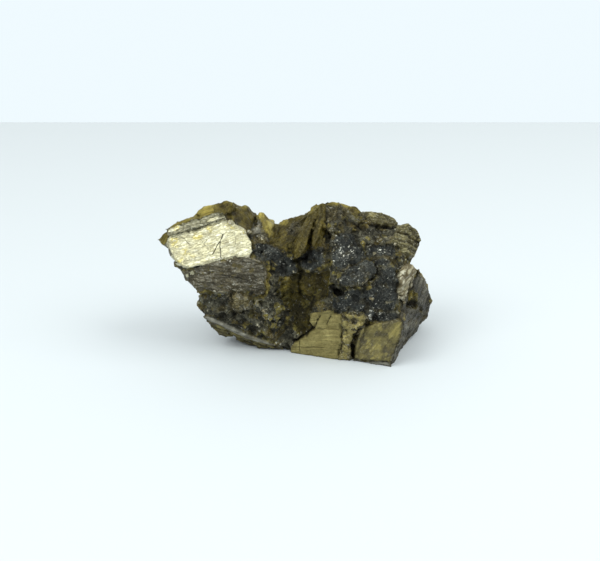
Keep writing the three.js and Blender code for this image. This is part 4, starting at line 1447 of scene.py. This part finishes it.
# %% Honey crystals
# Coats: lighter blades, painted highlights on the ridges, cleavage lines, bright fibres.
honey = coated(
    (0.11, 0.082, 0.012),
    (s.step(fine * 0.35 + wide * 0.5 + mottle * 0.8, -0.8, 0.8), (0.36, 0.30, 0.080)),
    (ridge_highlight * 0.6, (0.42, 0.36, 0.14)),
    (lines * 0.4, (0.05, 0.035, 0.006)),
    (s.step(micro + fine * 0.5, 0.2, 0.8) * 0.5, (0.50, 0.42, 0.16)),
)
base = lay_over(base, "honey", honey, soft=0.35)

# %% Rusty and tan lumps
# Coats: lighter fibres, then grey grains and specks on the rusty ones, and dark lines on both.
rusty = coated(
    (0.060, 0.050, 0.026),
    (s.step(fine * 0.4 + mottle, -0.5, 0.7), (0.20, 0.165, 0.075)),
    (s.step(grain_chance, 0.7, 0.8) * 0.6, (0.17, 0.165, 0.14)),
    (lines * 0.5, (0.030, 0.023, 0.010)),
    (s.step(pale_chance, 0.7, 0.9) * 0.5, (0.34, 0.30, 0.18)),
)
base = lay_over(base, "rusty", rusty, soft=0.4)
tan = coated(
    (0.11, 0.085, 0.025),
    (s.step(fine * 0.4 + mottle, -0.6, 0.7), (0.42, 0.36, 0.16)),
    (lines * 0.5, (0.04, 0.03, 0.01)),
)
base = lay_over(base, "tan", tan, soft=0.15)

# %% [markdown]
# ### The pale flake and the banded lumps
# The flake at the right is a pale splinter with brown lines between its layers. The banded lumps
# show their layers edge on, as light and dark stripes. The stripes follow the ledges of the
# relief, because a stripe that ran across a step would look printed on.

# %% The pale flake
# Coats: lighter fibres, grey and white plates, brown lines.
cream = coated(
    (0.25, 0.215, 0.125),
    (s.step(fine * 0.5 + mottle, -0.5, 0.6), (0.62, 0.58, 0.43)),
    (s.step(plate_chance, 0.65, 0.75) * 0.7, (0.19, 0.175, 0.12)),
    (s.step(other_plate, 0.75, 0.85) * 0.7, (0.74, 0.71, 0.57)),
    (lines * 0.75, (0.075, 0.052, 0.020)),
)
base = lay_over(base, "cream", cream)

# %% The banded lumps
# Coats: light bands where it is high, partly painted highlights on the raised bands, paler fibres,
# brown plates, long dark lines, pale specks.
banded = coated(
    (0.045, 0.036, 0.010),
    (s.step(height + wide * 0.3, -0.5, 0.4), (0.24, 0.215, 0.105)),
    (s.step(wide + fine * 0.4, 0.25, 0.7) * 0.6, (0.38, 0.36, 0.23)),
    (s.step(other_plate + mottle * 0.3, 0.7, 0.9) * 0.5, (0.16, 0.13, 0.04)),
    (long_lines * 0.75, (0.026, 0.020, 0.005)),
    (s.step(pale_chance, 0.7, 1.0) * 0.4, (0.45, 0.44, 0.34)),
)
base = lay_over(base, "banded", banded)

# %% [markdown]
# ### Flaky faces, veins and worn edges
# Slate and schist are faces where the layers are seen end on, so they break into small scales
# with dark lines between them, browner at the left and greyer at the right end. Ochre fills the
# old cracks, and the silky grey edge is where the ledge low on the left is worn. Scales of many
# tones, and not one rough grey, make them look flaky.

# %% The flaky face at the left
# Coats: light scales, dark plates, pale and dark specks, lines, brown grains, flecks painted as glints.
slate = coated(
    (0.105, 0.086, 0.050),
    (s.step(scale_chance * 0.3 + mottle * 0.8 + wide * 0.4, -0.3, 0.8), (0.44, 0.40, 0.30)),
    (s.step(other_plate, 0.7, 0.85) * 0.4, (0.060, 0.048, 0.026)),
    (s.step(pale_chance + micro * 0.3, 0.7, 1.1) * 0.75, (0.56, 0.54, 0.45)),
    (dark_specks * 0.5, (0.048, 0.038, 0.018)),
    (lines * 0.65, (0.034, 0.026, 0.013)),
    (s.step(other_grain + mottle * 0.4, 0.8, 0.95) * 0.6, (0.15, 0.12, 0.035)),
    (glint_flecks * 0.7, (0.50, 0.49, 0.42)),
)
base = lay_over(base, "slate", slate)

# %% The layered right end
# Coats: lighter fibres, dark plates, brown and pale lumps, pale and dark specks, pale and dark lines.
schist = coated(
    (0.020, 0.017, 0.010),
    (s.step(fine * 0.3 + wide * 0.7 + mottle * 0.6, -0.5, 0.6), (0.135, 0.126, 0.098)),
    (s.step(plate_chance + wide * 0.5, 0.55, 0.75) * 0.75, (0.026, 0.021, 0.012)),
    (s.step(other_lump + mottle * 0.5, 0.5, 0.8) * 0.7, (0.075, 0.056, 0.020)),
    (s.step(lump_chance + mottle * 0.5, 0.7, 0.9) * 0.7, (0.17, 0.165, 0.135)),
    (s.step(pale_chance, 0.6, 1.0) * 0.3, (0.24, 0.23, 0.19)),
    (dark_specks * 0.4, (0.020, 0.017, 0.010)),
    (more_lines * 0.3, (0.26, 0.245, 0.19)),
    (long_lines * 0.6, (0.014, 0.011, 0.006)),
)
base = lay_over(base, "schist", schist)

# %% Ochre veins and the silky edge
# Ochre changes speck by speck. The edge has pale fibres, flecks painted as glints where they crowd, and
# darker lines.
ochre = coated((0.115, 0.086, 0.016), (speck_chance, (0.40, 0.33, 0.095)))
base = lay_over(base, "ochre", ochre, soft=0.2, share=0.85)
grey = coated(
    (0.15, 0.142, 0.115),
    (s.step(fine, -0.7, 0.7), (0.31, 0.30, 0.25)),
    (glint_flecks * sparkle * 0.8, (0.62, 0.64, 0.58)),
    (lines * 0.5, (0.09, 0.08, 0.06)),
)
base = lay_over(base, "grey", grey, soft=0.3)

# %% [markdown]
# ### The strips and the feet
# The strips above the bronze face and the feet under the stone are bronze too, but broken, worn
# and stained, so they are duller and darker. They could be the bright finish behind a dirty
# layer, but their fibres and stains differ, so each has a tone of its own.

# %% The strips
# Coats: light fibres, pale and dark specks, long dark lines.
strips = coated(
    (0.28, 0.265, 0.17),
    (s.step(fine * 0.6 + wide, -0.6, 0.6), (0.64, 0.61, 0.44)),
    (s.step(pale_chance, 0.6, 0.9) * 0.6, (0.80, 0.78, 0.64)),
    (dark_specks * 0.35, (0.19, 0.18, 0.13)),
    (long_lines * 0.5, (0.11, 0.10, 0.062)),
)
base = lay_over(base, "strips", strips)

# %% The left foot
# Coats: yellower fibres, brown plates, lines, fine darker fibres.
foot_tone = coated(
    (0.215, 0.18, 0.068),
    (s.step(fine * 0.5 + mottle * 0.8, -0.7, 0.7), (0.42, 0.365, 0.15)),
    (s.step(plate_chance, 0.7, 0.85) * 0.35, (0.20, 0.165, 0.060)),
    (lines * 0.3, (0.11, 0.088, 0.032)),
    (s.step(micro + fine * 0.5, 0.1, 0.7) * 0.4, (0.14, 0.11, 0.04)),
)
base = lay_over(base, "foot", foot_tone)

# %% The rough foot between them
# Coats: yellow grains, dark lumps, bright specks.
rough_foot = coated(
    (0.095, 0.080, 0.045),
    (s.step(grain_chance + mottle * 0.5, 0.1, 1.0), (0.44, 0.37, 0.14)),
    (s.step(lump_chance + mottle * 0.4, 0.6, 0.8) * 0.8, (0.060, 0.052, 0.034)),
    (s.step(pale_chance, 0.7, 0.9) * 0.6, (0.62, 0.56, 0.34)),
)
base = lay_over(base, "rough_foot", rough_foot)

# %% The right foot
# Coats: yellow clouds, grey and yellow plates, yellower places, lines, pale specks, yellow lumps.
dark_foot = coated(
    (0.095, 0.082, 0.050),
    (s.step(fine * 0.3 + mottle, -0.5, 0.5), (0.27, 0.23, 0.085)),
    (s.step(plate_chance, 0.6, 0.8) * 0.5, (0.105, 0.095, 0.068)),
    (s.step(other_plate + mottle * 0.3, 0.75, 0.95) * 0.6, (0.34, 0.29, 0.11)),
    (s.step(yellow + mottle * 0.3, 0.25, 0.75) * 0.75, (0.37, 0.315, 0.105)),
    (lines * 0.4, (0.055, 0.045, 0.025)),
    (s.step(pale_chance, 0.8, 1.0) * 0.3, (0.40, 0.37, 0.24)),
    (s.step(lump_chance + mottle * 0.4, 0.6, 0.9) * 0.4, (0.30, 0.255, 0.095)),
)
base = lay_over(base, "dark_foot", dark_foot)

# %% [markdown]
# ### The bronze face
# This is the face that names the stone: a cleavage plane with a warm, nearly metallic shine,
# broken into short dashes along its layers. An anisotropic shader would stretch its highlights
# smoothly and lose the dashes. Pale plates and scales are painted as highlights of that shine
# instead, laid with darker fibres and thin lines over a warm base, yellower where it is stained,
# and most of it is metallic.

# %% The bronze face
# Coats: yellow stains, bright plates painted as highlights, dull plates, dark fibres and specks,
# bright scales painted as highlights, dark lines.
gold_tone = coated(
    (0.64, 0.61, 0.42),
    (s.step(mottle * 0.6 + yellow, 0.0, 0.8), (0.65, 0.56, 0.21)),
    (s.step(plate_chance + mottle * 0.3, 0.6, 0.8) * 0.75, (0.86, 0.83, 0.60)),
    (s.step(other_plate - yellow * 0.1, 0.75, 0.9) * 0.5, (0.38, 0.36, 0.27)),
    (s.step(fine + micro * 0.8 + mottle * 0.4, 0.1, 0.9) * 0.6, (0.32, 0.30, 0.21)),
    (s.step(pale_chance + mottle * 0.2, 0.7, 0.95) * 0.55, (0.30, 0.27, 0.16)),
    (s.step(other_scale, 0.75, 0.9) * 0.6, (0.94, 0.93, 0.78)),
    (s.hairlines(at, layers, 0.5, 0.18, 0.22) * 0.5, (0.20, 0.18, 0.11)),
    (more_lines * 0.3, (0.30, 0.28, 0.20)),
)
base = lay_over(base, "gold", gold_tone)

# %% Cracks
cracked = 0.0
for number, (width, points) in enumerate(CRACKS):
    crack = s.add("ShaderNodeSeparateXYZ", {}, {0: painted_on(f"crack_{number}", "Vector")})
    line = 1 - s.step(s.value("ABSOLUTE", crack[0]), width * 0.3, width * 0.6)
    cracked = s.value("MAXIMUM", cracked, line * s.step(crack[1], -0.1, 0.3))
base = s.mix(cracked * 0.9, base, (0.012, 0.010, 0.006))
print("cracks in the finish:", len(CRACKS))

# %% [markdown]
# ### Dust, flecks and shade
# Dark dust fills the ground more than the sound faces, flecks shine on it, and little light
# reaches the low ground and the grooves. The renderer shades deep places by itself, but the
# crevices between grains are finer than the mesh, so the shade is helped along by the height.

# %% Which faces are sound
bright = mask("gold")
slabs = s.most(mask("slate"), mask("schist"))
sound = s.most(bright, *(mask(name) for name in ("foot", "dark_foot", "olive", "honey", "tan", "banded")))
sound = s.most(sound, *(mask(name) for name in ("resin", "grey", "cream", "strips")), slabs * 0.7)
print("nodes so far:", len(s.tree.nodes))

# %% The last coats of colour
base = s.mix(dust_chance ** 2 * (0.45 - 0.2 * sound) * (1 - bright), base, (0.012, 0.011, 0.006))
# Pale flecks on the ground: painted glints, which the gloss below also makes small mirrors.
base = s.mix(glint_flecks * 0.75 * (1 - sound), base, (0.55, 0.54, 0.47))
# Painted shade: the low ground and the grooves are darkened, less so on the bronze face and the strips.
open_ground = 1 - 0.7 * low_ground * (1 - s.most(bright, mask("strips") * 0.8))
shade = open_ground * (1 - 0.8 * painted_on("groove_shade"))
base = s.mix(1 - shade, base, (0.004, 0.0035, 0.002))
# Lighter and darker places: the stone's own tone mixed with painted light and painted shade.
base = s.scaled(base, 1 + painted_on("tone_light_and_shade"))
s.set(shader, "Base Color", base)
print("nodes so far:", len(s.tree.nodes))

# %% [markdown]
# ### Gloss and bumps
# Each grain of the ground has a gloss of its own, the crystals and bronze faces are silky, and
# single flecks are small mirrors. Metal is kept for the bronze, in shares that follow how bright
# each face is. Bumps only add what is finer than the mesh: facets of the smallest grains, fibres
# and the lips of the cracks.

# %% Gloss and metal
SILKY, MIRROR = 0.42, 0.22
crystals = s.most(*(mask(name) for name in ("olive", "banded", "slate", "schist")), mask("smoky") * 0.5)
bronze = s.most(mask("foot"), mask("dark_foot"), bright)
glint = glint_flecks * (1 - sound) * 0.7
rough = 0.3 + gloss_chance * 0.35
rough = rough + (MIRROR - rough) * glint
rough = rough + (SILKY - rough) * crystals
rough = rough + (SILKY - rough) * bronze
s.set(shader, "Roughness", rough)
feet = s.most(mask("foot") * 0.4, mask("rough_foot") * 0.5, mask("dark_foot") * 0.3)
s.set(shader, "Metallic", s.most(bright * 0.75, feet, mask("strips") * 0.4, glint))
s.set(shader, "Specular IOR Level", 0.14)
print("nodes so far:", len(s.tree.nodes))

# %% Bumps
grain_bumps = s.facets(stir, SPECK) * 0.8 * (1 - sound) + s.facets(dust, DUST) * (1.3 - 0.9 * sound)
bumps = grain_bumps + fine * 0.06 + micro * 0.03 - lines * 0.05 * sound - cracked * 0.15
bump = s.add("ShaderNodeBump", {}, {"Strength": 1.0, "Distance": MM, "Height": bumps})
s.set(shader, "Normal", bump[0])
print("nodes in the finish:", len(s.tree.nodes))

# %% Hand the stone over
stone.data.materials.append(rock)
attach(stone, "root")
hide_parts(STONE_NODE)
print("finished:", stone.name)

# %% [markdown]
# ## Floor, light and camera
# A small stone is usually shown on pale paper under soft lamps. The paper is one flat plane. It
# ends behind the stone, and the light beyond it looks like a paler wall. Most light comes from
# all round, brightest from above and behind, as inside a light tent. Two area lamps add soft
# shadows, which a light from all round would wash out.

# %% The floor
FLOOR_SIDE = 2.4
BACK_EDGE = 0.205
bpy.ops.object.select_all(action="DESELECT")
bpy.ops.mesh.primitive_plane_add(size=FLOOR_SIDE, location=(0, BACK_EDGE - FLOOR_SIDE / 2, low.z))
floor = bpy.context.active_object
floor.name = "floor"
select_only(floor)
bpy.ops.object.transform_apply(location=True)
floor_finish, f, floor_shader = surface("floor_paint")
f.set(floor_shader, "Base Color", (0.60, 0.64, 0.70, 1))
f.set(floor_shader, "Roughness", 0.7)
floor.data.materials.append(floor_finish)
print("floor ends behind the stone by, in mm:", round((BACK_EDGE - high.y) / MM))

# %% The tent of light
TOP_GLOW, SIDE_GLOW, LEAST_GLOW = 1.25, 0.55, 0.22
world = bpy.data.worlds.new("studio")
bpy.context.scene.world = world
world.use_nodes = True
sky = world.node_tree.nodes["Background"]
w = Graph(world.node_tree)
toward = w.add("ShaderNodeSeparateXYZ", {}, {0: w.add("ShaderNodeTexCoord")["Generated"]})
tent = w.most(w.step(toward[2], 0.1, 0.75) * TOP_GLOW, w.step(toward[1], 0.05, 0.45))
tent = w.most(tent, w.step(w.value("ABSOLUTE", toward[0]), 0.45, 0.9) * SIDE_GLOW, LEAST_GLOW)
behind = w.step(toward[1], 0.3, 0.7) * (1 - w.step(toward[2], 0.0, 0.3))
hue = w.mix(behind, (0.96, 1.0, 0.95), (0.87, 0.96, 1.0))
w.set(sky, "Color", w.mix(tent, (0, 0, 0), hue))
w.set(sky, "Strength", 1.0)
print("nodes in the tent of light:", len(world.node_tree.nodes))

# %% Two soft lamps
WARM = (0.97, 1.0, 0.93)
LAMP_SIZE, LAMP_POWER = 0.32, 1.2


def lamp(name, place):
    data = bpy.data.lights.new(name, "AREA")
    data.size, data.energy, data.color = LAMP_SIZE, LAMP_POWER, WARM
    light = bpy.data.objects.new(name, data)
    bpy.context.collection.objects.link(light)
    light.location = place
    light.rotation_euler = (middle - light.location).to_track_quat("-Z", "Y").to_euler()
    print(name, "stands", round((light.location - middle).length, 2), "m from the stone")


lamp("left_tent", Vector((-0.26, -0.20, 0.40)))
lamp("right_tent", Vector((0.32, -0.10, 0.36)))

# %% The camera
camera = bpy.data.objects.new("camera", bpy.data.cameras.new("camera"))
bpy.context.collection.objects.link(camera)
camera.location = front_eye
camera.rotation_euler = (look_at - camera.location).to_track_quat("-Z", "Y").to_euler()
camera.data.lens = 75
camera.data.sensor_width = 36
camera.data.clip_start = 0.01
bpy.context.scene.camera = camera
bpy.context.scene.view_settings.view_transform = "Standard"
print("camera looks down by, in degrees:", round(math.degrees(DOWN)))
